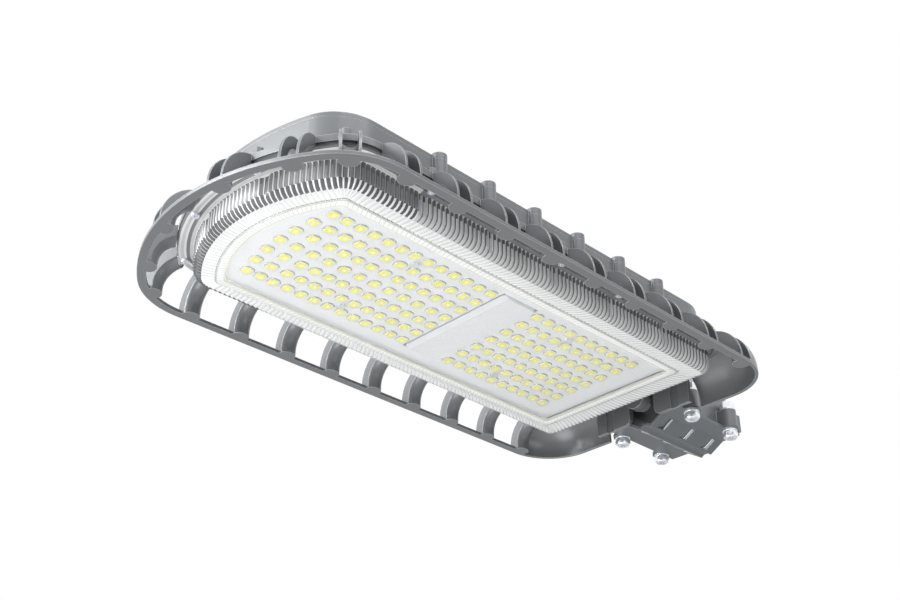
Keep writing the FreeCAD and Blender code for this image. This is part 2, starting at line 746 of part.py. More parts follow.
def gear():
    """Driver, surge protector, terminal block and cord clip on the pan's floor."""
    hole_r = 0.5 * SMALL_SCREW_D + SMALL_CLEAR
    foot_top = pan_floor_z + FOOT_THICK
    driver = case_with_feet(DRIVER_X, 0.0, DRIVER_LENGTH, DRIVER_WIDTH, DRIVER_HEIGHT, DRIVER_ROUND)
    save("driver", drilled(driver, driver_screw_places(), hole_r, pan_floor_z, foot_top))
    surge = case_with_feet(SURGE_X, SURGE_Y, SURGE_LENGTH, SURGE_WIDTH, SURGE_HEIGHT, SURGE_ROUND)
    save("surge_protector", drilled(surge, surge_screw_places(), hole_r, pan_floor_z, foot_top))

    width = BLOCK_POLES * BLOCK_POLE_WIDTH
    block = case_with_feet(BLOCK_X, BLOCK_Y, BLOCK_LENGTH, width, BLOCK_HEIGHT, BLOCK_ROUND)
    top = pan_floor_z + BLOCK_HEIGHT
    wells = []
    for k in range(BLOCK_POLES):
        y = BLOCK_Y + (k - 0.5 * (BLOCK_POLES - 1)) * BLOCK_POLE_WIDTH
        wells += [(BLOCK_X - BLOCK_WELL_X, y), (BLOCK_X + BLOCK_WELL_X, y)]
    block = drilled(block, wells, BLOCK_WELL_R, top - BLOCK_WELL_DEPTH, top)
    save("terminal_block", drilled(block, block_screw_places(), hole_r, pan_floor_z, foot_top))

    for name, places in (("driver_screws", driver_screw_places()),
                         ("surge_protector_screws", surge_screw_places()),
                         ("terminal_block_screws", block_screw_places())):
        save(name, group([pan_screw(x, y, foot_top, 1, FOOT_THICK + SMALL_GRIP) for x, y in places]))

    x0 = CLIP_X - 0.5 * CLIP_WIDTH
    x1 = CLIP_X + 0.5 * CLIP_WIDTH
    half = 0.5 * CLIP_LENGTH
    way_r = 0.5 * CLIP_GAP
    clip_top = pan_floor_z + CLIP_GAP + CLIP_BAR
    bar = box(x0, x1, -half, half, pan_floor_z, clip_top)
    way = fuse([Part.makeCylinder(way_r, CLIP_WIDTH, V(x0, 0, pan_floor_z + way_r), ALONG_X),
                box(x0, x1, -way_r, way_r, pan_floor_z, pan_floor_z + way_r)])
    save("cord_clip", drilled(bar.cut(way), clip_screw_places(), hole_r, pan_floor_z, clip_top))
    save("cord_clip_screws", group([pan_screw(x, y, clip_top, 1, CLIP_GAP + CLIP_BAR + SMALL_GRIP)
                                    for x, y in clip_screw_places()]))
    save("earth_screw", pan_screw(EARTH_X, EARTH_Y, pan_floor_z, 1, SMALL_GRIP))


def lens_outer(inset, top_z, bottom_z, edge_r):
    """Deep tray of the lens, upside down: straight wall with a rounded lower edge."""
    tray = ring_plan(LENS_WALL_INSET + inset, bottom_z, top_z, LENS_END_X - inset, LENS_END_R - inset)
    rim = [edge for edge in tray.Edges if edge.BoundBox.ZMax < bottom_z + OVERLAP]
    return tray.makeFillet(edge_r, rim)


def lens_flange(inset, z0, z1):
    return ring_plan(LENS_FLANGE_INSET + inset, z0, z1, LENS_END_X + LENS_FLANGE_MARGIN - inset,
                     LENS_END_R + LENS_FLANGE_MARGIN - inset)


def lens_cover():
    """Clear cover: flange with a step for the seal, straight wall with a pocket at each screw,
    rounded edge and raised panel."""
    flange_bottom = LENS_FLANGE_Z - LENS_FLANGE_THICK
    outer = lens_outer(0.0, PLATE_BOTTOM_Z, LENS_BOTTOM_Z, LENS_EDGE_R)
    inner = lens_outer(LENS_WALL, PLATE_BOTTOM_Z, LENS_BOTTOM_Z + LENS_WALL, LENS_EDGE_R - LENS_WALL)
    panel = ring_plan(LENS_PANEL_INSET, LENS_BOTTOM_Z - LENS_PANEL_PROUD, LENS_BOTTOM_Z + OVERLAP,
                      LENS_PANEL_END_X, LENS_PANEL_R)
    low_rim = [edge for edge in panel.Edges if edge.BoundBox.ZMax < LENS_BOTTOM_Z - OVERLAP]
    panel = panel.makeChamfer(LENS_PANEL_CHAMFER, low_rim)
    flange = lens_flange(0.0, flange_bottom, LENS_FLANGE_Z)
    land = lens_flange(LENS_SEAL_WIDTH + LENS_SEAL_CLEAR, flange_bottom, PLATE_BOTTOM_Z)
    walls = lens_pockets(LENS_WALL).common(outer)
    tray = fuse([outer, panel, flange, land]).cut(inner)
    tray = fuse([tray] + walls.Solids).cut(lens_pockets(0.0))
    holes = []
    for x, y in lens_screw_places():
        holes += both_sides(rod(0.5 * LENS_SCREW_D + LENS_SCREW_CLEAR, x, y, flange_bottom, PLATE_BOTTOM_Z))
    return tray.cut(group(holes)).removeSplitter()


def lens_gasket():
    """Narrow seal in the step of the lens flange, outside its screws."""
    seal = lens_flange(0.0, LENS_FLANGE_Z, PLATE_BOTTOM_Z)
    return seal.cut(lens_flange(LENS_SEAL_WIDTH, LENS_FLANGE_Z, PLATE_BOTTOM_Z))


def lens_screws():
    seat = LENS_FLANGE_Z - LENS_FLANGE_THICK
    solids = []
    for x, y in lens_screw_places():
        low = seat - LENS_SCREW_HEAD
        head = rod(0.5 * LENS_SCREW_HEAD_D, x, y, low, seat)
        shank = rod(0.5 * LENS_SCREW_D, x, y, seat, PLATE_BOTTOM_Z + LENS_SCREW_GRIP)
        socket = hexagon(LENS_SCREW_SOCKET, x, y, low, low + LENS_SCREW_SOCKET_DEPTH)
        solids += both_sides(fuse([head, shank]).cut(socket))
    return group(solids)


def cover_seal_line(spread, z0, z1):
    """Course of the lid's seal: a strip along the wall and a pad on each boss, widened by the spread."""
    inset = COVER_SEAL_INSET - spread
    strip = housing_plan(inset, z0, z1).cut(
        housing_plan(COVER_SEAL_INSET + COVER_SEAL_WIDTH + spread, z0, z1))
    pads = []
    for x, y in boss_places():
        pads += both_sides(rod(BOSS_R - inset, x, y, z0, z1))
    return fuse([strip] + pads)


def top_cover():
    """Lid: a flange with a groove for its seal, an ear with a sunk screw seat on each boss, a dome."""
    ears = []
    holes = []
    clear_r = 0.5 * COVER_SCREW_D + COVER_SCREW_CLEAR
    seat_r = 0.5 * COVER_HEAD_D + COVER_SCREW_CLEAR
    for x, y in boss_places():
        ears += both_sides(rod(BOSS_R, x, y, cover_bottom_z, cover_ear_z))
        holes += both_sides(fuse([rod(clear_r, x, y, cover_bottom_z, cover_ear_z),
                                  rod(seat_r, x, y, cover_seat_z, cover_ear_z)]))
    flange = housing_plan(0.0, cover_bottom_z, cover_flange_z)
    top = cover_flange_z + COVER_DOME_RISE
    dome = housing_plan(COVER_DOME_INSET, cover_bottom_z, top)
    upper_rim = [edge for edge in dome.Edges if edge.BoundBox.ZMin > top - OVERLAP]
    dome = dome.makeFillet(COVER_EDGE_R, upper_rim)
    hollow = housing_plan(COVER_DOME_INSET + COVER_THICK, cover_bottom_z, top - COVER_THICK)
    groove = cover_seal_line(COVER_SEAL_CLEAR, cover_bottom_z, cover_seal_z)
    lid = fuse([flange, dome] + ears).cut(group([hollow, groove]))
    return lid.cut(group(holes)).removeSplitter()


def cover_gasket():
    seal = cover_seal_line(0.0, HOUSING_TOP_Z, cover_seal_z)
    holes = []
    for x, y in boss_places():
        holes += both_sides(rod(0.5 * COVER_SCREW_D + COVER_SCREW_CLEAR, x, y, HOUSING_TOP_Z, cover_seal_z))
    return seal.cut(group(holes))


def cover_screws():
    solids = []
    top = cover_seat_z + COVER_HEAD
    for x, y in boss_places():
        head = rod(0.5 * COVER_HEAD_D, x, y, cover_seat_z, top)
        shank = rod(0.5 * COVER_SCREW_D, x, y, HOUSING_TOP_Z - COVER_SCREW_GRIP, cover_seat_z)
        socket = hexagon(COVER_SOCKET, x, y, top - COVER_SOCKET_DEPTH, top)
        solids += both_sides(fuse([head, shank]).cut(socket))
    return group(solids)


def centre_cover():
    """Shallow cap between the two boards, over their plugs, with its rim on the pan."""
    front, rear = board_edges()
    x0 = front + CENTRE_COVER_CLEAR
    x1 = rear - CENTRE_COVER_CLEAR
    half = CENTRE_COVER_HALF
    bottom = board_bottom_z - CENTRE_COVER_PROUD
    outer = box(x0, x1, -half, half, bottom, pan_bottom_z)
    upright = [edge for edge in outer.Edges if edge.BoundBox.ZLength > CENTRE_COVER_PROUD]
    outer = outer.makeFillet(CENTRE_COVER_R, upright)
    wall = CENTRE_COVER_WALL
    inner = box(x0 + wall, x1 - wall, -half + wall, half - wall, bottom + wall, pan_bottom_z)
    upright = [edge for edge in inner.Edges if edge.BoundBox.ZLength > CENTRE_COVER_PROUD]
    return outer.cut(inner.makeFillet(CENTRE_COVER_R - wall, upright))


def jaw_line(offset):
    """Half of the jaw's lower face seen along the pole, moved up by the offset across the sheet."""
    points = [(0.0, JAW_NOTCH_Z), (JAW_NOTCH_HALF, JAW_NOTCH_Z), (JAW_TIP_HALF, JAW_TIP_Z),
              (JAW_V_HALF, JAW_WING_Z), (JAW_WING_HALF, JAW_WING_Z)]
    lines = []
    for (y0, z0), (y1, z1) in zip(points[:-1], points[1:]):
        length = math.hypot(y1 - y0, z1 - z0)
        normal = (-(z1 - z0) / length, (y1 - y0) / length)
        lines.append((normal, normal[0] * y0 + normal[1] * z0 + offset))
    moved = [(points[0][0], points[0][1] + offset)]
    for (n0, d0), (n1, d1) in zip(lines[:-1], lines[1:]):
        det = n0[0] * n1[1] - n0[1] * n1[0]
        moved.append(((d0 * n1[1] - d1 * n0[1]) / det, (n0[0] * d1 - n1[0] * d0) / det))
    moved.append((points[-1][0], points[-1][1] + offset))
    return moved


def tooth_reach():
    """How far a tooth is pressed in so that it just bites the pole."""
    dy = JAW_V_HALF - JAW_TIP_HALF
    dz = JAW_WING_Z - JAW_TIP_Z
    distance = abs(JAW_TIP_HALF * dz - JAW_TIP_Z * dy) / math.hypot(dy, dz)
    return distance - JAW_THICK - POLE_R - POLE_FIT


def tooth(riser_x):
    """Window in the V face and the lanced strip that fills it, flush at one end, raised at the other."""
    low = jaw_line(0.0)
    (y0, z0), (y1, z1) = low[2], low[3]
    length = math.hypot(y1 - y0, z1 - z0)
    along = ((y1 - y0) / length, (z1 - z0) / length)
    normal = (-along[1], along[0])
    reach = tooth_reach()
    start = riser_x - TOOTH_LENGTH

    def quad(x, side_gap, low_offset, high_offset):
        corners = []
        for t, s in ((JAW_THICK + side_gap, low_offset), (length - JAW_THICK - side_gap, low_offset),
                     (length - JAW_THICK - side_gap, high_offset), (JAW_THICK + side_gap, high_offset)):
            corners.append(V(x, y0 + along[0] * t + normal[0] * s, z0 + along[1] * t + normal[1] * s))
        return Part.makePolygon(corners + corners[:1])

    window = Part.Face(quad(start, 0.0, -OVERLAP, JAW_THICK + OVERLAP)).extrude(ALONG_X * TOOTH_LENGTH)
    strip = Part.makeLoft([quad(start, TOOTH_SIDE_GAP, 0.0, JAW_THICK),
                           quad(riser_x - OVERLAP, TOOTH_SIDE_GAP, reach, JAW_THICK + reach)], True, True)
    return window, strip


def clamp_jaw():
    """Lower half of the clamp: a pressed sheet with a V, flat wings with ears, and lanced teeth."""
    low = jaw_line(0.0)
    high = jaw_line(JAW_THICK)
    half = low + high[::-1]
    other = [(-y, z) for y, z in half]
    sheets = []
    for outline in (half, other):
        points = [V(-CLAMP_HALF_LENGTH, y, z) for y, z in outline]
        sheets.append(Part.Face(Part.makePolygon(points + points[:1])).extrude(
            ALONG_X * (2.0 * CLAMP_HALF_LENGTH)))
    ears = [rod(JAW_EAR_R, x, y, JAW_WING_Z, JAW_WING_Z + JAW_THICK) for x, y in bolt_places()]
    sheet = fuse(sheets + ears)
    windows = []
    strips = []
    for station in TOOTH_STATIONS:
        window, strip = tooth(station)
        windows += both_sides(window)
        strips += both_sides(strip)
    holes = [rod(0.5 * BOLT_D + BOLT_HOLE_CLEAR, x, y, JAW_WING_Z, JAW_WING_Z + JAW_THICK)
             for x, y in bolt_places()]
    return fuse([sheet.cut(group(windows + holes))] + strips)


def spring_ring(x, y, z0):
    """Spring washer: a split ring."""
    outer = rod(0.5 * SPRING_D, x, y, z0, z0 + SPRING_THICK)
    split = box(x, x + SPRING_D, y - 0.5 * SPRING_SPLIT, y + 0.5 * SPRING_SPLIT, z0, z0 + SPRING_THICK)
    return outer.cut(rod(0.5 * BOLT_D, x, y, z0, z0 + SPRING_THICK)).cut(split)


def flat_ring(x, y, z0):
    return rod(0.5 * WASHER_D, x, y, z0, z0 + WASHER_THICK).cut(
        rod(0.5 * BOLT_D, x, y, z0, z0 + WASHER_THICK))


def clamp_fasteners():
    """Four M8 bolts from below: spring washer and flat washer under the head, washer and nut on top."""
    flat_z = JAW_WING_Z - WASHER_THICK
    spring_z = flat_z - SPRING_THICK
    top_z = PILLAR_TOP_Z + WASHER_THICK
    head_z = spring_z - BOLT_HEAD
    seat_r = BOLT_FACE_R + BOLT_HEAD * math.tan(math.radians(BOLT_EDGE_ANGLE))
    bolts = []
    nuts = []
    for x, y in bolt_places():
        head = hexagon(BOLT_HEX, x, y, head_z, spring_z)
        head = head.common(Part.makeCone(BOLT_FACE_R, seat_r, BOLT_HEAD, V(x, y, head_z)))
        shank = rod(0.5 * BOLT_D, x, y, spring_z, spring_z + BOLT_LENGTH)
        bolts.append(fuse([head, shank]))
        nuts.append(hexagon(BOLT_HEX, x, y, top_z, top_z + NUT_THICK).cut(
            rod(0.5 * BOLT_D, x, y, top_z, top_z + NUT_THICK)))
    save("clamp_bolts", group(bolts))
    save("clamp_nuts", group(nuts))
    save("clamp_flat_washers", group([flat_ring(x, y, flat_z) for x, y in bolt_places()]))
    save("clamp_spring_washers", group([spring_ring(x, y, spring_z) for x, y in bolt_places()]))
    save("clamp_top_washers", group([flat_ring(x, y, PILLAR_TOP_Z) for x, y in bolt_places()]))


def along_x(shape, x, y, z):
    """Lay an upright shape on its side so that its top points out of the clamp, and place its foot."""
    turned = shape.copy()
    turned.rotate(ORIGIN, V(0, 1, 0), 90.0)
    turned.translate(V(x, y, z))
    return turned


def cable_gland():
    """Gland in the well's end wall: threaded body with a hexagon, seal inside, domed nut on it."""
    seat = GLAND_HEX_THICK
    seal_end = seat + GLAND_SEAL_THICK
    end = seat + GLAND_DOME_LENGTH
    body = fuse([rod(GLAND_THREAD_R, 0, 0, -GLAND_GRIP, 0.0), hexagon(GLAND_HEX, 0, 0, 0.0, seat)])
    bore = rod(GLAND_BORE_R, 0, 0, -GLAND_GRIP, end)
    save("cable_gland_body", along_x(body.cut(bore), stop_front_x, 0, GLAND_Z))
    seal = rod(GLAND_THREAD_R, 0, 0, seat, seal_end).cut(rod(GLAND_CORD_R, 0, 0, seat, seal_end))
    save("cable_gland_seal", along_x(seal, stop_front_x, 0, GLAND_Z))
    edge = end - GLAND_DOME_EDGE
    dome = fuse([rod(GLAND_DOME_R, 0, 0, seat, edge),
                 Part.makeCone(GLAND_DOME_R, GLAND_DOME_R - GLAND_DOME_EDGE, GLAND_DOME_EDGE, V(0, 0, edge))])
    space = fuse([rod(GLAND_THREAD_R, 0, 0, seat, seal_end), rod(GLAND_BORE_R, 0, 0, seal_end, end)])
    save("cable_gland_nut", along_x(dome.cut(space), stop_front_x, 0, GLAND_Z))


def breather_valve():
    """Vent in the housing's end wall, that lets the lamp breathe but keeps water out."""
    valve = fuse([rod(VALVE_R, 0, 0, 0, VALVE_HEAD), rod(VALVE_THREAD_R, 0, 0, -HOUSING_WALL, 0)])
    return along_x(valve, HOUSING_END_X, VALVE_Y, VALVE_Z)


def main():
    os.makedirs("parts", exist_ok=True)
    save("body_casting", body_casting())
    save("top_cover", top_cover())
    save("top_cover_gasket", cover_gasket())
    save("top_cover_screws", cover_screws())
    save("lens_cover", lens_cover())
    save("lens_gasket", lens_gasket())
    save("lens_screws", lens_screws())
    front, rear = split_boards(board_bottom_z, board_top_z)
    save("led_board_front", front)
    save("led_board_rear", rear)
    front_pad, rear_pad = split_boards(board_top_z, pan_bottom_z)
    save("thermal_pad_front", front_pad)
    save("thermal_pad_rear", rear_pad)
    save("led_emitters_front", emitters(front_led_places()))
    save("led_emitters_rear", emitters(rear_led_places()))
    save("led_board_screws", group([pan_screw(x, y, board_bottom_z, -1, BOARD_THICK + PAD_THICK + SMALL_GRIP)
                                    for x, y in board_screw_places()]))
    save("centre_cover", centre_cover())
    save("clamp_jaw", clamp_jaw())
    clamp_fasteners()
    cable_gland()
    save("breather_valve", breather_valve())
    gear()


main()
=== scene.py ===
# %% [markdown]
# # A street light head with LEDs, dressed for its picture
# The real lamp is a grey casting with a clear lens below, a lid above and a pole clamp at one end.
# Its solids come from the frame, in metres. This lesson gives them their finishes, and models what
# is too fine for the solids: the flutes of the lens, the small domes over the LEDs and the threads.

# %% Load the frame
import json
import math

import bmesh
import bpy
from mathutils import Matrix, Vector


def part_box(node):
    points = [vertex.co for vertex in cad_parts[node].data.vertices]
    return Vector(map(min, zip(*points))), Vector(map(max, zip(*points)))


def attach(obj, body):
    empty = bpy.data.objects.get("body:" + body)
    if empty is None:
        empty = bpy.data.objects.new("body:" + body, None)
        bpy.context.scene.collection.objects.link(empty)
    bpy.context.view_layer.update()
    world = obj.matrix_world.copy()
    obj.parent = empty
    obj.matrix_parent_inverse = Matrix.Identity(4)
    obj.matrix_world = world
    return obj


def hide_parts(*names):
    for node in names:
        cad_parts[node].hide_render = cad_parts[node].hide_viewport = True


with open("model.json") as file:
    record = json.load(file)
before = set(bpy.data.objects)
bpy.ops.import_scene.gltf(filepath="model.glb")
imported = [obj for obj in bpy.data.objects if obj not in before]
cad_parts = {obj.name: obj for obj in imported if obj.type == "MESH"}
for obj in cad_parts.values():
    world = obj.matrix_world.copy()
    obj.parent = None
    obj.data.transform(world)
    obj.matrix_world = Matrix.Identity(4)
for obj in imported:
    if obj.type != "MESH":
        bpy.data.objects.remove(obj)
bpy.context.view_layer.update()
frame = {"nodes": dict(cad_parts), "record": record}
nodes = frame["nodes"]
MM = 0.001

# %% [markdown]
# ## A camera low on the nose's side
# The picture looks up at the lamp from below its near side. A camera could be aimed by eye, but its
# turn and its distance then hide each other's faults. So its three directions and its place were
# solved from points of the lamp that are easy to find, and they are written down here.

# %% Camera
CAMERA_PLACE = (-0.9529, -0.6659, -0.5434)
CAMERA_RIGHT = (0.72030, -0.69366, 0.0008)
CAMERA_DOWN = (0.35153, 0.36404, -0.86249)
CAMERA_FORWARD = (0.59799, 0.62153, 0.50607)
CAMERA_LENS = 50.0
CAMERA_SENSOR = 36.0


def add_camera():
    data = bpy.data.cameras.new("camera")
    data.lens = CAMERA_LENS
    data.sensor_width = CAMERA_SENSOR
    camera = bpy.data.objects.new("camera", data)
    turn = Matrix((CAMERA_RIGHT, [-v for v in CAMERA_DOWN], [-v for v in CAMERA_FORWARD])).transposed()
    camera.matrix_world = Matrix.Translation(CAMERA_PLACE) @ turn.to_4x4()
    bpy.context.scene.collection.objects.link(camera)
    bpy.context.scene.camera = camera
    return camera


print("camera at", [round(v, 3) for v in add_camera().location])

# %% [markdown]
# ## Soft light
# A studio picture of a grey product needs large lamps, because satin paint shows them as broad,
# soft bands. One lamp stands before the nose, one above the near side and one below the lens, and a
# weak one fills the near side from low down. The world is white to the eye and in reflections, but
# it lights the lamp more gently than that.

# %% World and lamps
WORLD_LIGHT = 0.5


def set_world():
    world = bpy.data.worlds.new("studio")
    bpy.context.scene.world = world
    world.use_nodes = True
    tree = world.node_tree
    background = tree.nodes["Background"]
    path = tree.nodes.new("ShaderNodeLightPath")
    seen = None
    for ray in ("Is Camera Ray", "Is Glossy Ray", "Is Transmission Ray"):
        if seen is None:
            seen = path.outputs[ray]
            continue
        either = tree.nodes.new("ShaderNodeMath")
        either.operation = "MAXIMUM"
        tree.links.new(seen, either.inputs[0])
        tree.links.new(path.outputs[ray], either.inputs[1])
        seen = either.outputs[0]
    strength = tree.nodes.new("ShaderNodeMapRange")
    strength.inputs["To Min"].default_value = WORLD_LIGHT
    strength.inputs["To Max"].default_value = 1.0
    tree.links.new(seen, strength.inputs["Value"])
    tree.links.new(strength.outputs["Result"], background.inputs["Strength"])
    background.inputs["Color"].default_value = (1.0, 1.0, 1.0, 1.0)


def add_lamp(name, place, target, width, height, watts):
    data = bpy.data.lights.new(name, "AREA")
    data.shape = "RECTANGLE"
    data.size = width
    data.size_y = height
    data.energy = watts
    lamp = bpy.data.objects.new(name, data)
    direction = Vector(target) - Vector(place)
    lamp.rotation_euler = direction.to_track_quat("-Z", "Y").to_euler()
    lamp.location = place
    bpy.context.scene.collection.objects.link(lamp)
    return lamp


set_world()
LAMPS = (
    ("nose_lamp", (-1.9, 0.5, 0.4), (-0.35, 0.0, 0.0), 1.3, 1.0, 46.0),
    ("top_lamp", (-0.5, -1.0, 1.5), (-0.3, -0.05, 0.0), 1.4, 0.9, 17.0),
    ("under_lamp", (-1.25, 0.1, -1.0), (-0.3, 0.0, 0.0), 1.0, 1.0, 7.6),
    ("side_lamp", (-0.2, -1.9, -0.25), (-0.2, 0.0, 0.0), 1.3, 0.7, 4.0),
)
for lamp_values in LAMPS:
    print("lamp", add_lamp(*lamp_values).name)

# %% [markdown]
# ## Noise that many finishes share
# Paint, zinc and plastic are never one flat tone. Three node groups are built once and placed in the
# materials with their own values: one varies a colour with soft blotches, the next makes fine grain
# for a bump, and the third finds the edges, which are rounded, and gives a mask of them on which some
# finishes paint a highlight.

# %% Blotches
BLOTCH_DETAIL = 5.0
BLOTCH_GAIN = 2.0


def new_group(name, inputs, outputs):
    group = bpy.data.node_groups.new(name, "ShaderNodeTree")
    for label, kind, value in inputs:
        socket = group.interface.new_socket(label, in_out="INPUT", socket_type=kind)
        if value is not None:
            socket.default_value = value
    for label, kind in outputs:
        group.interface.new_socket(label, in_out="OUTPUT", socket_type=kind)
    start = group.nodes.new("NodeGroupInput")
    end = group.nodes.new("NodeGroupOutput")
    return group, start, end


def noise_node(tree, scale_socket, detail, coordinates):
    node = tree.nodes.new("ShaderNodeTexNoise")
    node.inputs["Detail"].default_value = detail
    tree.links.new(coordinates, node.inputs["Vector"])
    tree.links.new(scale_socket, node.inputs["Scale"])
    return node


def blotch_group():
    group, start, end = new_group(
        "blotches",
        [("Color", "NodeSocketColor", (0.5, 0.5, 0.5, 1.0)), ("Roughness", "NodeSocketFloat", 0.4),
         ("Scale", "NodeSocketFloat", 18.0), ("Amount", "NodeSocketFloat", 0.06)],
        [("Color", "NodeSocketColor"), ("Roughness", "NodeSocketFloat")])
    coordinates = group.nodes.new("ShaderNodeTexCoord")
    spots = noise_node(group, start.outputs["Scale"], BLOTCH_DETAIL, coordinates.outputs["Object"])
    centred = group.nodes.new("ShaderNodeMath")
    centred.operation = "SUBTRACT"
    centred.inputs[1].default_value = 0.5
    group.links.new(spots.outputs["Fac"], centred.inputs[0])
    swing = group.nodes.new("ShaderNodeMath")
    swing.operation = "MULTIPLY"
    group.links.new(centred.outputs[0], swing.inputs[0])
    group.links.new(start.outputs["Amount"], swing.inputs[1])
    gain = group.nodes.new("ShaderNodeMath")
    gain.operation = "MULTIPLY_ADD"
    gain.inputs[1].default_value = BLOTCH_GAIN
    gain.inputs[2].default_value = 1.0
    group.links.new(swing.outputs[0], gain.inputs[0])
    tint = group.nodes.new("ShaderNodeVectorMath")
    tint.operation = "SCALE"
    group.links.new(start.outputs["Color"], tint.inputs[0])
    group.links.new(gain.outputs[0], tint.inputs["Scale"])
    group.links.new(tint.outputs[0], end.inputs["Color"])
    gloss = group.nodes.new("ShaderNodeMath")
    gloss.operation = "ADD"
    group.links.new(start.outputs["Roughness"], gloss.inputs[0])
    group.links.new(swing.outputs[0], gloss.inputs[1])
    group.links.new(gloss.outputs[0], end.inputs["Roughness"])
    return group


BLOTCHES = blotch_group()
print("group:", BLOTCHES.name)

# %% Grain and edges
GRAIN_DETAIL = 2.0
EDGE_SAMPLES = 4
EDGE_BEGINS = 0.99
EDGE_FULL = 0.8


def grain_group():
    group, start, end = new_group(
        "grain", [("Scale", "NodeSocketFloat", 900.0)], [("Height", "NodeSocketFloat")])
    coordinates = group.nodes.new("ShaderNodeTexCoord")
    grain = noise_node(group, start.outputs["Scale"], GRAIN_DETAIL, coordinates.outputs["Object"])
    group.links.new(grain.outputs["Fac"], end.inputs["Height"])
    return group


def edge_group():
    """The rounded normal near an edge, and how far it turns from the true one."""
    group, start, end = new_group(
        "edges", [("Radius", "NodeSocketFloat", 0.0005)],
        [("Normal", "NodeSocketVector"), ("Mask", "NodeSocketFloat")])
    rounding = group.nodes.new("ShaderNodeBevel")
    rounding.samples = EDGE_SAMPLES
    group.links.new(start.outputs["Radius"], rounding.inputs["Radius"])
    group.links.new(rounding.outputs["Normal"], end.inputs["Normal"])
    true_normal = group.nodes.new("ShaderNodeNewGeometry")
    turned = group.nodes.new("ShaderNodeVectorMath")
    turned.operation = "DOT_PRODUCT"
    group.links.new(rounding.outputs["Normal"], turned.inputs[0])
    group.links.new(true_normal.outputs["Normal"], turned.inputs[1])
    mask = group.nodes.new("ShaderNodeMapRange")
    mask.inputs["From Min"].default_value = EDGE_BEGINS
    mask.inputs["From Max"].default_value = EDGE_FULL
    group.links.new(turned.outputs["Value"], mask.inputs["Value"])
    group.links.new(mask.outputs["Result"], end.inputs["Mask"])
    return group


GRAIN = grain_group()
EDGES = edge_group()
print("groups:", GRAIN.name, EDGES.name)

# %% [markdown]
# ## One function for the painted, plated and moulded finishes
# Each finish is a Principled BSDF. Its colour and roughness pass through the blotches, its bump
# comes from the grain, and the edges group rounds the sharp edges of the solids, as paint and
# moulding do. Where a finish asks for it, its colour is lightened along those edges as a painted
# highlight where light meets them. The casting's colour is darkened by its place inside the pole's
# socket, as painted shade that stands for the deep shade there.

# %% Shade in the socket
SOCKET_R = 31.0
SOCKET_FADE = 1.5
SOCKET_FOOT_X = -47.0
SOCKET_FOOT_FADE = 1.0
SOCKET_SHADE = 0.02


def scaled(tree, color, factor):
    product = tree.nodes.new("ShaderNodeVectorMath")
    product.operation = "SCALE"
    tree.links.new(color, product.inputs[0])
    tree.links.new(factor, product.inputs["Scale"])
    return product.outputs[0]


def ramp(tree, value, low, high, to_low, to_high):
    node = tree.nodes.new("ShaderNodeMapRange")
    node.inputs["From Min"].default_value = low * MM
    node.inputs["From Max"].default_value = high * MM
    node.inputs["To Min"].default_value = to_low
    node.inputs["To Max"].default_value = to_high
    tree.links.new(value, node.inputs["Value"])
    return node.outputs["Result"]


def socket_shade(tree):
    """Falls from one to nearly nothing inside the pole's socket, round the X axis."""
    coordinates = tree.nodes.new("ShaderNodeTexCoord")
    split = tree.nodes.new("ShaderNodeSeparateXYZ")
    tree.links.new(coordinates.outputs["Object"], split.inputs[0])
    across = tree.nodes.new("ShaderNodeVectorMath")
    across.operation = "MULTIPLY"
    across.inputs[1].default_value = (0.0, 1.0, 1.0)
    tree.links.new(coordinates.outputs["Object"], across.inputs[0])
    radius = tree.nodes.new("ShaderNodeVectorMath")
    radius.operation = "LENGTH"
    tree.links.new(across.outputs[0], radius.inputs[0])
    outside = ramp(tree, radius.outputs["Value"], SOCKET_R, SOCKET_R + SOCKET_FADE, SOCKET_SHADE, 1.0)
    before = ramp(tree, split.outputs["X"], SOCKET_FOOT_X - SOCKET_FOOT_FADE, SOCKET_FOOT_X,
                  1.0, SOCKET_SHADE)
    larger = tree.nodes.new("ShaderNodeMath")
    larger.operation = "MAXIMUM"
    tree.links.new(outside, larger.inputs[0])
    tree.links.new(before, larger.inputs[1])
    return larger.outputs[0]


print("shade inside a radius of", SOCKET_R, "mm, beyond x", SOCKET_FOOT_X)

# %% Finish function
GRAIN_HEIGHT = 0.2


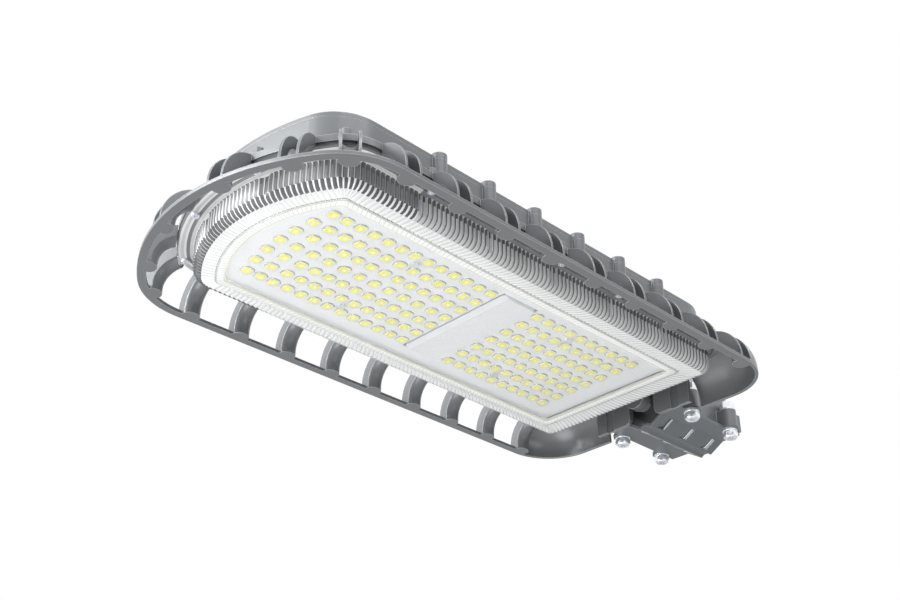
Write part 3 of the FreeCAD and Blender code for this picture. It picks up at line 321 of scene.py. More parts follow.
def finish(name, color, roughness, metallic=0.0, amount=0.06, spots=18.0, grain=900.0, bump=0.05,
           edge=0.0, painted_edge_highlight=0.0, socket=False):
    material = bpy.data.materials.new(name)
    material.use_nodes = True
    tree = material.node_tree
    shader = tree.nodes["Principled BSDF"]
    blotches = tree.nodes.new("ShaderNodeGroup")
    blotches.node_tree = BLOTCHES
    blotches.inputs["Color"].default_value = (*color, 1.0)
    blotches.inputs["Roughness"].default_value = roughness
    blotches.inputs["Scale"].default_value = spots
    blotches.inputs["Amount"].default_value = amount
    color_out = blotches.outputs["Color"]
    tree.links.new(blotches.outputs["Roughness"], shader.inputs["Roughness"])
    shader.inputs["Metallic"].default_value = metallic
    height = tree.nodes.new("ShaderNodeGroup")
    height.node_tree = GRAIN
    height.inputs["Scale"].default_value = grain
    relief = tree.nodes.new("ShaderNodeBump")
    relief.inputs["Strength"].default_value = bump
    relief.inputs["Distance"].default_value = GRAIN_HEIGHT * MM
    tree.links.new(height.outputs["Height"], relief.inputs["Height"])
    if edge > 0:
        edges = tree.nodes.new("ShaderNodeGroup")
        edges.node_tree = EDGES
        edges.inputs["Radius"].default_value = edge * MM
        tree.links.new(edges.outputs["Normal"], relief.inputs["Normal"])
    # painted highlight: the colour is lightened along the rounded edges that the edges group finds
    if painted_edge_highlight > 0:
        gain = tree.nodes.new("ShaderNodeMapRange")
        gain.inputs["To Min"].default_value = 1.0
        gain.inputs["To Max"].default_value = 1.0 + painted_edge_highlight
        tree.links.new(edges.outputs["Mask"], gain.inputs["Value"])
        color_out = scaled(tree, color_out, gain.outputs["Result"])
    # painted shade: the casting's colour is darkened inside the pole's socket
    if socket:
        color_out = scaled(tree, color_out, socket_shade(tree))
    tree.links.new(color_out, shader.inputs["Base Color"])
    tree.links.new(relief.outputs["Normal"], shader.inputs["Normal"])
    return material


print("grain height:", GRAIN_HEIGHT, "mm")

# %% [markdown]
# ## The finishes
# The casting has a satin silver-grey powder coat, and the pressed jaw a slightly darker one. The
# fasteners are bright zinc. The boards are white, the silicone is black and matt, and the lamp's
# inner pieces have the plain finishes of bought-in parts.

# %% Opaque finishes
finishes = {
    # the two coats take a painted highlight on their edges, and the casting a painted shade in the socket
    "grey_casting": finish("powder_coat", (0.185, 0.193, 0.202), 0.3, metallic=0.35, edge=0.8,
                           bump=0.1, painted_edge_highlight=2.4, socket=True),
    "grey_steel": finish("jaw_coat", (0.135, 0.145, 0.155), 0.36, metallic=0.25, edge=0.5, bump=0.1,
                         painted_edge_highlight=2.2),
    "zinc_steel": finish("zinc", (0.90, 0.93, 0.98), 0.24, metallic=0.8, edge=0.25, amount=0.08,
                         spots=260.0),
    "black_rubber": finish("silicone", (0.02, 0.02, 0.02), 0.6, amount=0.1, spots=60.0),
    "led_board": finish("board", (0.78, 0.79, 0.80), 0.4, amount=0.05, spots=700.0),
    "led_phosphor": finish("phosphor", (0.99, 0.97, 0.06), 0.35, amount=0.04, spots=400.0),
    "white_plastic": finish("white_moulding", (0.80, 0.81, 0.82), 0.42, amount=0.03, edge=0.3),
    "thermal_pad": finish("pad_silicone", (0.30, 0.32, 0.35), 0.7, amount=0.1, spots=80.0),
    "driver_case": finish("driver_case", (0.55, 0.56, 0.58), 0.35, metallic=0.8, edge=0.6),
    "grey_plastic": finish("nylon", (0.18, 0.19, 0.20), 0.4, edge=0.3),
    "dark_plastic": finish("black_moulding", (0.03, 0.03, 0.035), 0.45, edge=0.4),
}
for piece in frame["record"]["subparts"]:
    node = nodes[piece["node"]]
    if piece["material_slot"] in finishes:
        node.data.materials.clear()
        node.data.materials.append(finishes[piece["material_slot"]])
print("finishes:", len(finishes))

# %% [markdown]
# ## Clear plastic
# Clear polycarbonate bends light and shows the white studio in its edges. Glass is slow to light
# through, so the shader lets the lamps' shadow rays pass: its alpha falls for those rays alone.
# Each look of the ribbed moulding is its own mix of clear and tinted plastic, from dark grooves to
# white ridges. The tones imitate what bent light does at this picture's angle. They are fixed to the
# moulding, so from other sides they don't change as those of a real lens would. The IOR values were
# chosen as well, and most are well below that of the real plastic.

# %% Clear finishes


def clear_plastic(name, tint, roughness, ior, clear=1.0, shadow=0.15):
    material = bpy.data.materials.new(name)
    material.use_nodes = True
    tree = material.node_tree
    shader = tree.nodes["Principled BSDF"]
    shader.inputs["Base Color"].default_value = (*tint, 1.0)
    shader.inputs["Roughness"].default_value = roughness
    shader.inputs["IOR"].default_value = ior
    shader.inputs["Transmission Weight"].default_value = clear
    path = tree.nodes.new("ShaderNodeLightPath")
    alpha = tree.nodes.new("ShaderNodeMapRange")
    alpha.inputs["To Min"].default_value = 1.0
    alpha.inputs["To Max"].default_value = shadow
    tree.links.new(path.outputs["Is Shadow Ray"], alpha.inputs["Value"])
    tree.links.new(alpha.outputs["Result"], shader.inputs["Alpha"])
    return material


lens_finishes = {
    # one letter for each look of the moulding, used by the sections below; the tints of d and m are
    # painted shade, and those of f, g, w and y painted light, both standing for bent light
    "f": clear_plastic("lens_flange", (0.90, 0.905, 0.91), 0.06, 1.49, clear=0.62),
    "d": clear_plastic("lens_groove_painted_shade", (0.15, 0.155, 0.16), 0.12, 1.2, clear=0.5),
    "m": clear_plastic("lens_shade", (0.27, 0.275, 0.28), 0.15, 1.2, clear=0.45),
    "g": clear_plastic("lens_strip_painted_light", (0.80, 0.805, 0.81), 0.15, 1.25, clear=0.45),
    "w": clear_plastic("lens_ridge_painted_highlight", (0.97, 0.975, 0.98), 0.1, 1.45, clear=0.3),
    "p": clear_plastic("lens_panel", (0.98, 0.985, 0.99), 0.04, 1.15, clear=0.94),
    "y": clear_plastic("lens_rim", (0.93, 0.93, 0.66), 0.1, 1.3, clear=0.6),
}
LENS_LETTERS = list(lens_finishes)
dome_clear = clear_plastic("dome_silicone", (0.99, 0.99, 0.99), 0.02, 1.1, shadow=0.0)
print("clear finishes:", [material.name for material in lens_finishes.values()], dome_clear.name)

# %% [markdown]
# ## Outlines that run beside the ring
# Every edge of the lamp seen from below is the same outline moved in: a wide nose arc, two corner
# arcs, straight sides and two rounded rear corners. The walker gives each run the same number of
# points, whatever the outline's size, so that the points of two outlines can be joined one to one.

# %% Outline walker
RING_NOSE_X = -582.3
RING_NOSE_R = 196.0
RING_HALF = 142.0
RING_CORNER_R = 66.0
LEAST_CORNER_R = 6.0
LENS_INSET = 41.6
LENS_REAR_X = -73.5
LENS_REAR_R = 11.0
LEAST_REAR_R = 4.0
FLUTE_PITCH = 4.7
FLUTE_STEPS = 6


def outline_runs(inset, rear_x, rear_r):
    """The runs of half an outline from the middle of its rear edge to the tip of its nose."""
    nose_r = RING_NOSE_R - inset
    nose_c = RING_NOSE_X + RING_NOSE_R
    half = RING_HALF - inset
    corner_r = max(LEAST_CORNER_R, RING_CORNER_R - inset)
    corner_y = half - corner_r
    reach = nose_r - corner_r
    corner_x = nose_c - math.sqrt(reach * reach - corner_y * corner_y)
    meet = 180.0 - math.degrees(math.atan2(corner_y, nose_c - corner_x))
    return [
        ("line", (rear_x, 0.0), (rear_x, half - rear_r), (1.0, 0.0)),
        ("arc", (rear_x - rear_r, half - rear_r), rear_r, 0.0, 90.0),
        ("line", (rear_x - rear_r, half), (corner_x, half), (0.0, 1.0)),
        ("arc", (corner_x, corner_y), corner_r, 90.0, meet),
        ("arc", (nose_c, 0.0), nose_r, meet, 180.0),
    ]


def run_length(run):
    if run[0] == "line":
        return math.dist(run[1], run[2])
    return run[2] * math.radians(run[4] - run[3])


def walk(inset, rear_x, rear_r, counts):
    """Points along the closed outline, each with its outward direction."""
    upper = []
    for run, count in zip(outline_runs(inset, rear_x, rear_r), counts):
        for k in range(count):
            share = k / count
            if run[0] == "line":
                upper.append((Vector(run[1]).lerp(Vector(run[2]), share), Vector(run[3])))
                continue
            turn = math.radians(run[3] + (run[4] - run[3]) * share)
            normal = Vector((math.cos(turn), math.sin(turn)))
            upper.append((Vector(run[1]) + run[2] * normal, normal))
    lower = [(Vector((p.x, -p.y)), Vector((n.x, -n.y))) for p, n in reversed(upper[1:])]
    return upper + [(Vector((RING_NOSE_X + inset, 0.0)), Vector((-1.0, 0.0)))] + lower


lens_counts = [FLUTE_STEPS * max(2, round(run_length(run) / FLUTE_PITCH))
               for run in outline_runs(LENS_INSET, LENS_REAR_X, LENS_REAR_R)]
print("points on each run of the lens:", lens_counts)

# %% [markdown]
# ## The fluted lens
# The real cover is one moulding of clear plastic: a flange, an upright wall, a rounded edge and a
# flat panel that stands a little proud. Fine flutes run down its wall and over its edge to the
# panel. A bump in the material could draw the flutes, but it would leave the cover's outline smooth.
# So a section is swept along the outline, once for the outside and once for the inside. Each flute
# bulges outward and meets the next in a sharp valley. At each screw the wall steps back, which leaves
# room for a screwdriver.

# %% Looks of the flutes
NOSE_LOOK_X = -440.0
FLUTE_LOOKS = {
    # the look of each of the six steps of a flute from one valley to the next, at the nose and along
    # the sides; the looks lay bands of painted shade and painted highlight that stand for bent light
    "lip": ("dddddd", "dddddd"), "shade": ("mmmmmm", "dddddd"), "flange": ("gggggg", "mmmmmm"),
    "streak": ("wwwwww", "mmmmmm"), "top": ("dddmmw", "dddggw"), "wall": ("dmmmmw", "dggggw"),
    "edge": ("wwdddd", "dggggg"), "rim": ("gwwwww", "gwwwww"), "flat": ("pppppp", "pppppp"),
    "bead": ("yyyyyy", "yyyyyy"), "clear": ("ffffff", "ffffff"),
}
print("looks:", len(FLUTE_LOOKS))

# %% Lens sections
LENS_OUTSIDE = (
    # distance in at the sides and at the rear, height, depth of the flutes, look up to here
    (-11.4, -5.9, 2.2, 0.0, "lip"), (-11.4, -5.9, 0.5, 0.0, "lip"), (-13.5, -8.0, 0.5, 0.0, "lip"),
    (-13.5, -8.0, -1.4, 0.0, "lip"), (-12.4, -7.2, -2.5, 0.0, "shade"),
    (-10.6, -5.8, -2.9, 0.0, "streak"), (-8.0, -4.4, -2.2, 0.0, "flange"),
    (-6.2, -3.4, -1.9, 0.0, "streak"), (-3.4, -2.0, -2.1, 0.0, "shade"),
    (-0.9, -0.8, -2.9, 0.0, "flange"), (-0.2, -0.2, -2.9, 0.0, "streak"), (0.0, 0.0, -3.7, 1.1, "top"),
    (0.0, 0.0, -8.0, 1.1, "top"), (0.0, 0.0, -15.8, 1.1, "wall"), (0.6, 0.6, -18.6, 1.1, "wall"),
    (2.3, 2.3, -21.2, 1.0, "edge"), (4.8, 4.8, -23.2, 0.9, "edge"), (7.7, 7.7, -24.2, 0.8, "edge"),
    (13.5, 15.0, -24.6, 0.5, "rim"), (18.4, 26.5, -24.9, 0.4, "rim"), (18.8, 27.6, -25.2, 0.0, "wall"),
    (20.2, 30.0, -25.9, 0.0, "flat"), (25.6, 35.5, -25.9, 0.0, "rim"), (26.9, 36.5, -25.5, 0.0, "bead"),
)
LENS_INSIDE = (
    (26.9, 36.5, -22.1, 0.0, "flat"), (8.4, 8.4, -21.9, 0.0, "clear"), (5.4, 5.4, -20.4, 0.0, "clear"),
    (3.4, 3.4, -18.2, 0.0, "clear"), (2.5, 2.5, -15.4, 0.0, "clear"), (2.5, 2.5, -2.9, 0.0, "clear"),
    (2.5, 2.5, 2.2, 0.0, "clear"),
)
LENS_WALL = 2.4
# this far in, the flutes have turned from the wall and lie flat
EDGE_INSET = 7.7
print("rows of the sections:", len(LENS_OUTSIDE), len(LENS_INSIDE))

# %% Room round the lens screws
POCKET_R = 10.5
POCKET_INSETS = (-0.5, 4.0)
FLANGE_BOTTOM_Z = -2.9
HEIGHT_SLACK = 0.1
SCREW_INSET = 33.0
SCREW_FIRST_X = -146.0
SCREW_PITCH = 72.5
SCREW_COUNT = 5
SCREW_CORNER_ANGLE = 50.0
SCREW_NOSE_ANGLE = 14.0


def lens_screws():
    """Places of the lens screws on both sides."""
    far = [(SCREW_FIRST_X - k * SCREW_PITCH, RING_HALF - SCREW_INSET) for k in range(SCREW_COUNT)]
    arcs = outline_runs(SCREW_INSET, LENS_REAR_X, LENS_REAR_R)[3:]
    for run, angle in zip(arcs, (SCREW_CORNER_ANGLE, SCREW_NOSE_ANGLE)):
        turn = math.radians(180.0 - angle)
        far.append((run[1][0] + run[2] * math.cos(turn), run[1][1] + run[2] * math.sin(turn)))
    return [Vector((x, side * y)) for x, y in far for side in (1.0, -1.0)]


def step_back(point, normal, radius, screws):
    """Move a point of the wall in until it clears the room round a screw."""
    for screw in screws:
        offset = point - screw
        if offset.length < radius:
            along = offset.dot(normal)
            reach = math.sqrt(along * along - offset.length_squared + radius * radius)
            return point - normal * (along + reach)
    return point


screws = lens_screws()
print("lens screws:", len(screws))

# %% Sweep the sections


def add_object(name, mesh):
    thing = bpy.data.objects.new(name, mesh)
    bpy.context.scene.collection.objects.link(thing)
    return thing


def sweep_rows(work, section, wall):
    rows = []
    for inward, rear, z, depth, _ in section:
        rear_r = max(LEAST_REAR_R, LENS_REAR_R - rear)
        path = walk(LENS_INSET + inward, LENS_REAR_X - rear, rear_r, lens_counts)
        lying = min(1.0, max(0.0, inward) / EDGE_INSET)
        row = []
        for k, (point, normal) in enumerate(path):
            wave = depth * (1.0 - abs(math.sin(math.pi * k / FLUTE_STEPS)))
            place = point - wave * (1.0 - lying) * normal
            if POCKET_INSETS[0] < inward < POCKET_INSETS[1] and z < FLANGE_BOTTOM_Z + HEIGHT_SLACK:
                place = step_back(place, normal, POCKET_R + wall, screws)
            row.append(work.verts.new((place.x * MM, place.y * MM, (z + wave * lying) * MM)))
        rows.append(row)
    return rows


def join_rows(work, rows, section):
    for upper, lower, values in zip(rows[:-1], rows[1:], section[1:]):
        for k in range(len(upper)):
            after = (k + 1) % len(upper)
            face = work.faces.new((upper[k], upper[after], lower[after], lower[k]))
            look = FLUTE_LOOKS[values[4]][upper[k].co.x > NOSE_LOOK_X * MM]
            face.material_index = LENS_LETTERS.index(look[k % FLUTE_STEPS])


def cap(work, row):
    """Close a flat outline with triangles."""
    edges = [work.edges.get((row[k], row[(k + 1) % len(row)])) for k in range(len(row))]
    made = bmesh.ops.triangle_fill(work, use_beauty=False, edges=edges)
    return [item for item in made["geom"] if isinstance(item, bmesh.types.BMFace)]


print("a flute has", FLUTE_STEPS, "steps")

# %% Lens mesh
SHARP_ANGLE = 32.0


def lens_mesh():
    work = bmesh.new()
    outside = sweep_rows(work, LENS_OUTSIDE, 0.0)
    inside = sweep_rows(work, LENS_INSIDE, LENS_WALL)
    join_rows(work, outside, LENS_OUTSIDE)
    join_rows(work, inside, LENS_INSIDE)
    count = len(outside[0])
    for k in range(count):
        after = (k + 1) % count
        work.faces.new((inside[-1][k], inside[-1][after], outside[0][after], outside[0][k]))
    for face in cap(work, outside[-1]) + cap(work, inside[0]):
        face.material_index = LENS_LETTERS.index("p")
    bmesh.ops.recalc_face_normals(work, faces=work.faces)
    mesh = bpy.data.meshes.new("lens")
    work.to_mesh(mesh)
    work.free()
    mesh.polygons.foreach_set("use_smooth", [True] * len(mesh.polygons))
    mesh.set_sharp_from_angle(angle=math.radians(SHARP_ANGLE))
    return mesh


lens = add_object("fluted_lens", lens_mesh())
for material in lens_finishes.values():
    lens.data.materials.append(material)
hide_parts("lens_cover")
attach(lens, "root")
print("lens faces:", len(lens.data.polygons))

# %% [markdown]
# ## LED packages and their domes
# Each LED is a yellow square of phosphor in a white package, under a clear silicone dome with a
# foot. A small white square on the phosphor is a painted glint. Each could be an object of its own,
# but a board has up to ninety of them and they never come apart, so the packages of a board are one
# mesh and its domes are another.

# %% LED places
LED_PITCH_X = 14.0
LED_PITCH_Y = 18.1
LED_ROWS = 7
REAR_LAST_X = -135.7
REAR_COLUMNS = 10
FRONT_FIRST_X = -317.7
FRONT_STRAIGHT = 11
FRONT_NOSE_X = -492.0
FRONT_NOSE_R = 184.0
CENTRE_COUNT = 12


def led_places():
    rear = []
    front = []
    for row in range(LED_ROWS):
        y = (row - 0.5 * (LED_ROWS - 1)) * LED_PITCH_Y
        rear += [(REAR_LAST_X - k * LED_PITCH_X, y) for k in range(REAR_COLUMNS)]
        nose = FRONT_NOSE_X + FRONT_NOSE_R - math.sqrt(FRONT_NOSE_R ** 2 - y * y)
        if abs(y) < 0.5 * LED_PITCH_Y:
            step = (FRONT_FIRST_X - nose) / (CENTRE_COUNT - 1)
            front += [(FRONT_FIRST_X - k * step, y) for k in range(CENTRE_COUNT)]
            continue
        last = FRONT_FIRST_X - (FRONT_STRAIGHT - 1) * LED_PITCH_X
        front += [(FRONT_FIRST_X - k * LED_PITCH_X, y) for k in range(FRONT_STRAIGHT)]
        front += [(0.5 * (last + nose), y), (nose, y)]
    return {"front": front, "rear": rear}


places = led_places()
print({name: len(points) for name, points in places.items()})

# %% Outlines and stacks
BOARD_Z = -19.2
LED_FACE_Z = -20.0


def rounded_square(half, corner, points=4):
    """Corners of a rounded square, going round once."""
    ring = []
    for quarter in range(4):
        centre_turn = math.radians(90.0 * quarter + 45.0)
        reach = (half - corner) * math.sqrt(2.0)
        cx, cy = reach * math.cos(centre_turn), reach * math.sin(centre_turn)
        for k in range(points):
            turn = math.radians(90.0 * quarter + 90.0 * k / (points - 1))
            ring.append((cx + corner * math.cos(turn), cy + corner * math.sin(turn)))
    return ring


def stack(work, centre, layers, material):
    """Closed stack of outlines: each layer is a list of points at a height."""
    rows = []
    for points, z in layers:
        rows.append([work.verts.new(((centre[0] + x) * MM, (centre[1] + y) * MM, z * MM))
                     for x, y in points])
    made = []
    for upper, lower in zip(rows[:-1], rows[1:]):
        for k in range(len(upper)):
            after = (k + 1) % len(upper)
            made.append(work.faces.new((upper[k], upper[after], lower[after], lower[k])))
    made.append(work.faces.new(rows[-1]))
    made.append(work.faces.new(list(reversed(rows[0]))))
    for face in made:
        face.material_index = material


def mesh_from(work, name, smooth):
    bmesh.ops.recalc_face_normals(work, faces=work.faces)
    mesh = bpy.data.meshes.new(name)
    work.to_mesh(mesh)
    work.free()
    for polygon in mesh.polygons:
        polygon.use_smooth = smooth
    return mesh


print("package height:", round(BOARD_Z - LED_FACE_Z, 2), "mm")

# %% LED packages
# half width, corner radius and height of each outline
PACKAGE_STACK = ((3.9, 0.8, BOARD_Z), (3.9, 0.8, LED_FACE_Z + 0.15), (3.7, 0.7, LED_FACE_Z))
PHOSPHOR_STACK = ((3.5, 0.9, LED_FACE_Z + 0.05), (3.4, 0.8, LED_FACE_Z - 0.15))
PAINTED_GLINT_STACK = ((1.25, 0.3, LED_FACE_Z - 0.1), (1.15, 0.3, LED_FACE_Z - 0.2))
LED_STACKS = ((PACKAGE_STACK, 1), (PHOSPHOR_STACK, 0), (PAINTED_GLINT_STACK, 2))

package_white = finish("led_package", (0.86, 0.86, 0.85), 0.4, amount=0.03, spots=300.0)
# painted glint: a white square on each phosphor stands for a highlight
painted_glint = finish("phosphor_painted_glint", (1.0, 1.0, 0.97), 0.3, amount=0.0, spots=300.0)
for board, points in places.items():
    work = bmesh.new()
    for place in points:
        for outlines, material in LED_STACKS:
            stack(work, place, [(rounded_square(half, corner), z) for half, corner, z in outlines], material)
    packages = add_object("led_packages_" + board, mesh_from(work, "led_packages_" + board, False))
    for material in (finishes["led_phosphor"], package_white, painted_glint):
        packages.data.materials.append(material)
    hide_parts("led_emitters_" + board)
    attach(packages, "root")
    print(packages.name, len(packages.data.polygons))

# %% LED domes
# radius and height of each ring
DOME_SECTION = ((6.1, -19.25), (6.1, -19.6), (5.6, -19.8), (5.5, -20.3), (5.0, -20.9), (4.0, -21.4),
                (2.6, -21.75), (1.2, -21.9))
DOME_TURNS = 20
for board, points in places.items():
    work = bmesh.new()
    for place in points:
        layers = []
        for radius, z in DOME_SECTION:
            ring = [(radius * math.cos(2.0 * math.pi * k / DOME_TURNS),
                     radius * math.sin(2.0 * math.pi * k / DOME_TURNS)) for k in range(DOME_TURNS)]
            layers.append((ring, z))
        stack(work, place, layers, 0)
    domes = add_object("led_domes_" + board, mesh_from(work, "led_domes_" + board, True))
    domes.data.materials.append(dome_clear)
    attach(domes, "root")
    print(domes.name, len(domes.data.polygons))

# %% [markdown]
# ## The cover between the boards
# The white cap over the plugs has a gentle slope at its front end and steep sides, and its face has a
# fine woven texture. The slope is in the mesh, because it turns the light, and the slope and sides
# also take a darker copy of the white, which is painted shade. The weave is too fine to model thread
# by thread, so it is a bump of two crossed sets of ridges.

# %% Centre cover
CAP_FRONT_X = -310.7
CAP_REAR_X = -268.7
CAP_INSET = 2.0
COVER_FRONT_X = CAP_FRONT_X + CAP_INSET
COVER_REAR_X = CAP_REAR_X - CAP_INSET
COVER_Y = 62.0
COVER_SLOPE = 4.5
COVER_STEEP = 1.2
COVER_CORNER = 4.0
COVER_FACE_CORNER = 3.0
COVER_FACE_Z = -21.6
COVER_FOOT_Z = -17.1
WEAVE_SCALE = 130.0
WEAVE_STRENGTH = 0.9
WEAVE_HEIGHT = 0.3


def rounded_box(x0, x1, half, corner, points=5):
    """Corners of a rounded rectangle, going round once."""
    ring = []
    for quarter, (sx, sy) in enumerate(((1, 1), (-1, 1), (-1, -1), (1, -1))):
        cx = (x1 if sx > 0 else x0) - sx * corner
        cy = sy * (half - corner)
        for k in range(points):
            turn = math.radians(90.0 * (quarter + k / (points - 1)))
            ring.append((cx + corner * math.cos(turn), cy + corner * math.sin(turn)))
    return ring


def woven(material, scale, strength):
    """Add two crossed sets of fine ridges to a finish."""
    tree = material.node_tree
    shader = tree.nodes["Principled BSDF"]
    coordinates = tree.nodes.new("ShaderNodeTexCoord")
    total = None
    for direction in ("X", "Y"):
        ridges = tree.nodes.new("ShaderNodeTexWave")
        ridges.bands_direction = direction
        ridges.inputs["Scale"].default_value = scale
        tree.links.new(coordinates.outputs["Object"], ridges.inputs["Vector"])
        if total is None:
            total = ridges.outputs["Fac"]
            continue
        both = tree.nodes.new("ShaderNodeMath")
        tree.links.new(total, both.inputs[0])
        tree.links.new(ridges.outputs["Fac"], both.inputs[1])
        total = both.outputs[0]
    relief = tree.nodes.new("ShaderNodeBump")
    relief.inputs["Strength"].default_value = strength
    relief.inputs["Distance"].default_value = WEAVE_HEIGHT * MM
    tree.links.new(total, relief.inputs["Height"])
    tree.links.new(shader.inputs["Normal"].links[0].from_socket, relief.inputs["Normal"])
    tree.links.new(relief.outputs["Normal"], shader.inputs["Normal"])
    return material


cover_foot = rounded_box(COVER_FRONT_X, COVER_REAR_X, COVER_Y, COVER_CORNER)
cover_face = rounded_box(COVER_FRONT_X + COVER_SLOPE, COVER_REAR_X - COVER_STEEP,
                         COVER_Y - COVER_STEEP, COVER_FACE_CORNER)
work = bmesh.new()
stack(work, (0.0, 0.0), [(cover_foot, COVER_FOOT_Z), (cover_foot, BOARD_Z), (cover_face, COVER_FACE_Z)], 0)
for face in work.faces:
    if all(vert.co.z < (COVER_FACE_Z + HEIGHT_SLACK) * MM for vert in face.verts):
        face.material_index = 1
cover = add_object("plug_cover", mesh_from(work, "plug_cover", False))
# painted shade: the slope and sides take a darker copy of the cap's white
cover.data.materials.append(finish("cover_slope_painted_shade", (0.70, 0.71, 0.73), 0.3, amount=0.02))
cover_white = finish("cover_face", (0.80, 0.81, 0.82), 0.4, amount=0.04, spots=500.0)
cover.data.materials.append(woven(cover_white, WEAVE_SCALE, WEAVE_STRENGTH))
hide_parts("centre_cover")
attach(cover, "root")
print("cover faces:", len(cover.data.polygons))

# %% [markdown]
# ## White strips beside the cover
# Past both ends of the cover the grey pan would show as dark corners, where the real lamp is pale.
# Two thin white strips fill the gap between the boards there. That they are board is a guess.

# %% Board strips
STRIP_OUT_Y = 80.0
STRIP_THICK = 1.6
STRIP_END_GAP = 0.1
STRIP_COVER_GAP = 0.2
STRIP_TOP_Z = BOARD_Z + STRIP_THICK
rear_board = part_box("led_board_rear")
front_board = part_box("led_board_front")
strip_x = (front_board[1].x / MM + STRIP_END_GAP, rear_board[0].x / MM - STRIP_END_GAP)
strip_y = (COVER_Y + STRIP_COVER_GAP, min(STRIP_OUT_Y, rear_board[1].y / MM))


def block(work, x, y, z):
    outline = [(x[0], y[0]), (x[1], y[0]), (x[1], y[1]), (x[0], y[1])]
    stack(work, (0.0, 0.0), [(outline, z[0]), (outline, z[1])], 0)


work = bmesh.new()
for side in (1.0, -1.0):
    block(work, strip_x, sorted((side * strip_y[0], side * strip_y[1])), (BOARD_Z, STRIP_TOP_Z))
strips = add_object("board_strips", mesh_from(work, "board_strips", False))
strips.data.materials.append(finishes["led_board"])
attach(strips, "root")
print("board strips from", [round(v, 1) for v in strip_x], "to", [round(v, 1) for v in strip_y])

# %% [markdown]
# ## The clamp's bolts
# The four M8 bolts have hexagon heads with a chamfered face and a cross recess, and a rolled thread
# that ends in a small chamfer above its nut. A cylinder with a screw modifier could make the thread.
# Here rings are stacked round an upright axis instead, so that head, recess and thread close into one
# mesh, which is copied to the four places.

# %% Bolt sizes
BOLT_X = 31.4
BOLT_Y = 42.4
HEAD_Z = -37.4
SEAT_Z = -32.1
TIP_Z = 2.9
HEAD_HALF = 6.5
HEAD_SHARP_ANGLE = 28.0
FACE_R = 5.8
CHAMFER_OUT = 0.9
CHAMFER_DEEP = 0.8
CHAMFER_END = 1.5
THREAD_R = 4.0
THREAD_DEPTH = 0.55
THREAD_PITCH = 1.25
THREAD_STEPS = 4
THREAD_RUNOUT = 1.0
TIP_CHAMFER = 0.5
BOLT_TURNS = 36
RECESS_ARM = 3.4
RECESS_HALF = 0.75
RECESS_DEEP = 1.8
print("bolt length under the head:", TIP_Z - SEAT_Z, "mm")

# %% Rings of a bolt


def round_row(work, radius_at, z):
    row = []
    for k in range(BOLT_TURNS):
        turn = 2.0 * math.pi * k / BOLT_TURNS
        radius = radius_at(turn)
        row.append(work.verts.new((radius * math.cos(turn) * MM, radius * math.sin(turn) * MM, z * MM)))
    return row


def hexagon_at(turn):
    return HEAD_HALF / math.cos(turn % (math.pi / 3.0) - math.pi / 6.0)


def bridge(work, rows):
    for upper, lower in zip(rows[:-1], rows[1:]):
        for k in range(len(upper)):
            after = (k + 1) % len(upper)
            work.faces.new((upper[k], upper[after], lower[after], lower[k]))


def loop_edges(work, row):
    pairs = [(row[k], row[(k + 1) % len(row)]) for k in range(len(row))]
    return [work.edges.get(pair) or work.edges.new(pair) for pair in pairs]


print("across the hexagon's flats:", 2.0 * HEAD_HALF, "mm")

# %% One bolt


def bolt_mesh():
    work = bmesh.new()
    arm, half = RECESS_ARM, RECESS_HALF
    cross = ((arm, -half), (arm, half), (half, half), (half, arm), (-half, arm), (-half, half),
             (-arm, half), (-arm, -half), (-half, -half), (-half, -arm), (half, -arm), (half, -half))
    cross_rows = [[work.verts.new((x * MM, y * MM, z * MM)) for x, y in cross]
                  for z in (HEAD_Z, HEAD_Z + RECESS_DEEP)]
    bridge(work, cross_rows)
    work.faces.new(cross_rows[1])
    face_row = round_row(work, lambda turn: FACE_R, HEAD_Z)
    rows = [face_row,
            round_row(work, lambda turn: min(FACE_R + CHAMFER_OUT, hexagon_at(turn)), HEAD_Z + CHAMFER_DEEP),
            round_row(work, hexagon_at, HEAD_Z + CHAMFER_END), round_row(work, hexagon_at, SEAT_Z),
            round_row(work, lambda turn: THREAD_R, SEAT_Z)]
    z = SEAT_Z + THREAD_RUNOUT
    while z < TIP_Z - THREAD_RUNOUT:
        def thread_at(turn, z=z):
            share = (z / THREAD_PITCH - turn / (2.0 * math.pi)) % 1.0
            return THREAD_R - THREAD_DEPTH * abs(2.0 * share - 1.0)
        rows.append(round_row(work, thread_at, z))
        z += THREAD_PITCH / THREAD_STEPS
    rows.append(round_row(work, lambda turn: THREAD_R - THREAD_DEPTH, TIP_Z - TIP_CHAMFER))
    rows.append(round_row(work, lambda turn: THREAD_R - 2.0 * THREAD_DEPTH, TIP_Z))
    bridge(work, rows)
    work.faces.new(rows[-1])
    bmesh.ops.triangle_fill(work, edges=loop_edges(work, face_row) + loop_edges(work, cross_rows[0]))
    return work


print("one bolt has", BOLT_TURNS, "points on each ring")

# %% Four bolts
bolts = bmesh.new()
for x, y in ((-BOLT_X, -BOLT_Y), (-BOLT_X, BOLT_Y), (BOLT_X, -BOLT_Y), (BOLT_X, BOLT_Y)):
    one = bolt_mesh()
    bmesh.ops.translate(one, verts=one.verts, vec=(x * MM, y * MM, 0.0))
    part = bpy.data.meshes.new("bolt")
    one.to_mesh(part)
    one.free()
    bolts.from_mesh(part)
    bpy.data.meshes.remove(part)
bolt_set = add_object("threaded_bolts", mesh_from(bolts, "threaded_bolts", True))
bolt_set.data.set_sharp_from_angle(angle=math.radians(HEAD_SHARP_ANGLE))
bolt_set.data.materials.append(finishes["zinc_steel"])
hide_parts("clamp_bolts")
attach(bolt_set, "root")
print("bolt faces:", len(bolt_set.data.polygons))

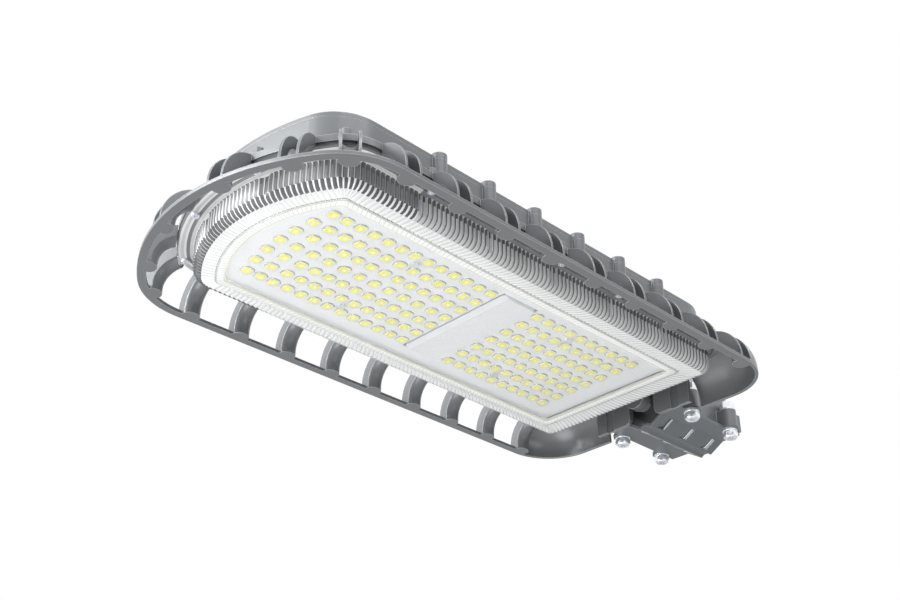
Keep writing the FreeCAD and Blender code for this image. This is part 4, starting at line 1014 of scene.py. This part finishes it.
# %% [markdown]
# ## Bright edges of the jaw's teeth, and webs of the saddle
# Beside each tooth runs a short bright stroke, which is taken for the bare cut edge of the sheet. A
# thin bright plate on that face shows it; its near-white colour is bare steel and, beyond that, a
# painted highlight. Beside each outer pillar of the saddle stands a short upright web. Only the near
# one is in sight, and the far one is its mirror image.

# %% Tooth edges
TOOTH_X = (-30.5, 4.0, 38.0)
TOOTH_PLATE = (-0.3, -0.05)
TOOTH_LIFT = 0.05
TOOTH_FOOT = (5.6, -38.0)
TOOTH_HEAD = (21.5, -28.5)
TOOTH_MARGIN = 2.5
TOOTH_RISE = 1.9

foot = Vector(TOOTH_FOOT)
run = Vector(TOOTH_HEAD) - foot
along = run.normalized()
inward = Vector((-along.y, along.x))
work = bmesh.new()
for station in TOOTH_X:
    for side in (1.0, -1.0):
        corners = [foot + along * t + inward * s for t, s in (
            (TOOTH_MARGIN, TOOTH_LIFT), (run.length - TOOTH_MARGIN, TOOTH_LIFT),
            (run.length - TOOTH_MARGIN, TOOTH_RISE), (TOOTH_MARGIN, TOOTH_RISE))]
        rows = [[work.verts.new(((station + x) * MM, side * corner.x * MM, corner.y * MM))
                 for corner in corners] for x in TOOTH_PLATE]
        bridge(work, rows)
        work.faces.new(rows[0])
        work.faces.new(list(reversed(rows[1])))
edges = add_object("tooth_edges", mesh_from(work, "tooth_edges", False))
# partly bare steel, partly painted highlight: a near-white plate on each tooth's face
edges.data.materials.append(finish("bare_steel_and_painted_highlight", (0.92, 0.93, 0.95), 0.35, metallic=0.3, spots=300.0))
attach(edges, "root")
print("tooth edges:", len(edges.data.polygons))

# %% Saddle webs
WEB_X = (38.0, 48.8)
WEB_Y = (41.5, 44.3)
WEB_Z = (-25.8, -8.2)

work = bmesh.new()
for side in (1.0, -1.0):
    block(work, WEB_X, sorted((side * WEB_Y[0], side * WEB_Y[1])), WEB_Z)
webs = add_object("saddle_webs", mesh_from(work, "saddle_webs", False))
webs.data.materials.append(finishes["grey_casting"])
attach(webs, "root")
print("webs:", len(webs.data.polygons))

# %% [markdown]
# ## The floor
# The lamp hangs above a plain pale floor, which also throws some light back up at its lens.

# %% Floor
FLOOR_Z = -1.3
FLOOR_HALF = 6.0
floor_mesh = bpy.data.meshes.new("floor")
corners = [(x, y, FLOOR_Z) for x, y in ((-FLOOR_HALF, -FLOOR_HALF), (FLOOR_HALF, -FLOOR_HALF),
                                        (FLOOR_HALF, FLOOR_HALF), (-FLOOR_HALF, FLOOR_HALF))]
floor_mesh.from_pydata(corners, [], [(0, 1, 2, 3)])
floor = add_object("floor", floor_mesh)
floor.data.materials.append(finish("floor_paint", (0.86, 0.86, 0.86), 0.8, amount=0.01, spots=2.0))
print("floor at", FLOOR_Z)

# %% [markdown]
# ## Plain colours on the screen
# The Standard view shows a colour about as it is written, which suits a product picture.

# %% View, size and finish
bpy.context.scene.view_settings.view_transform = "Standard"
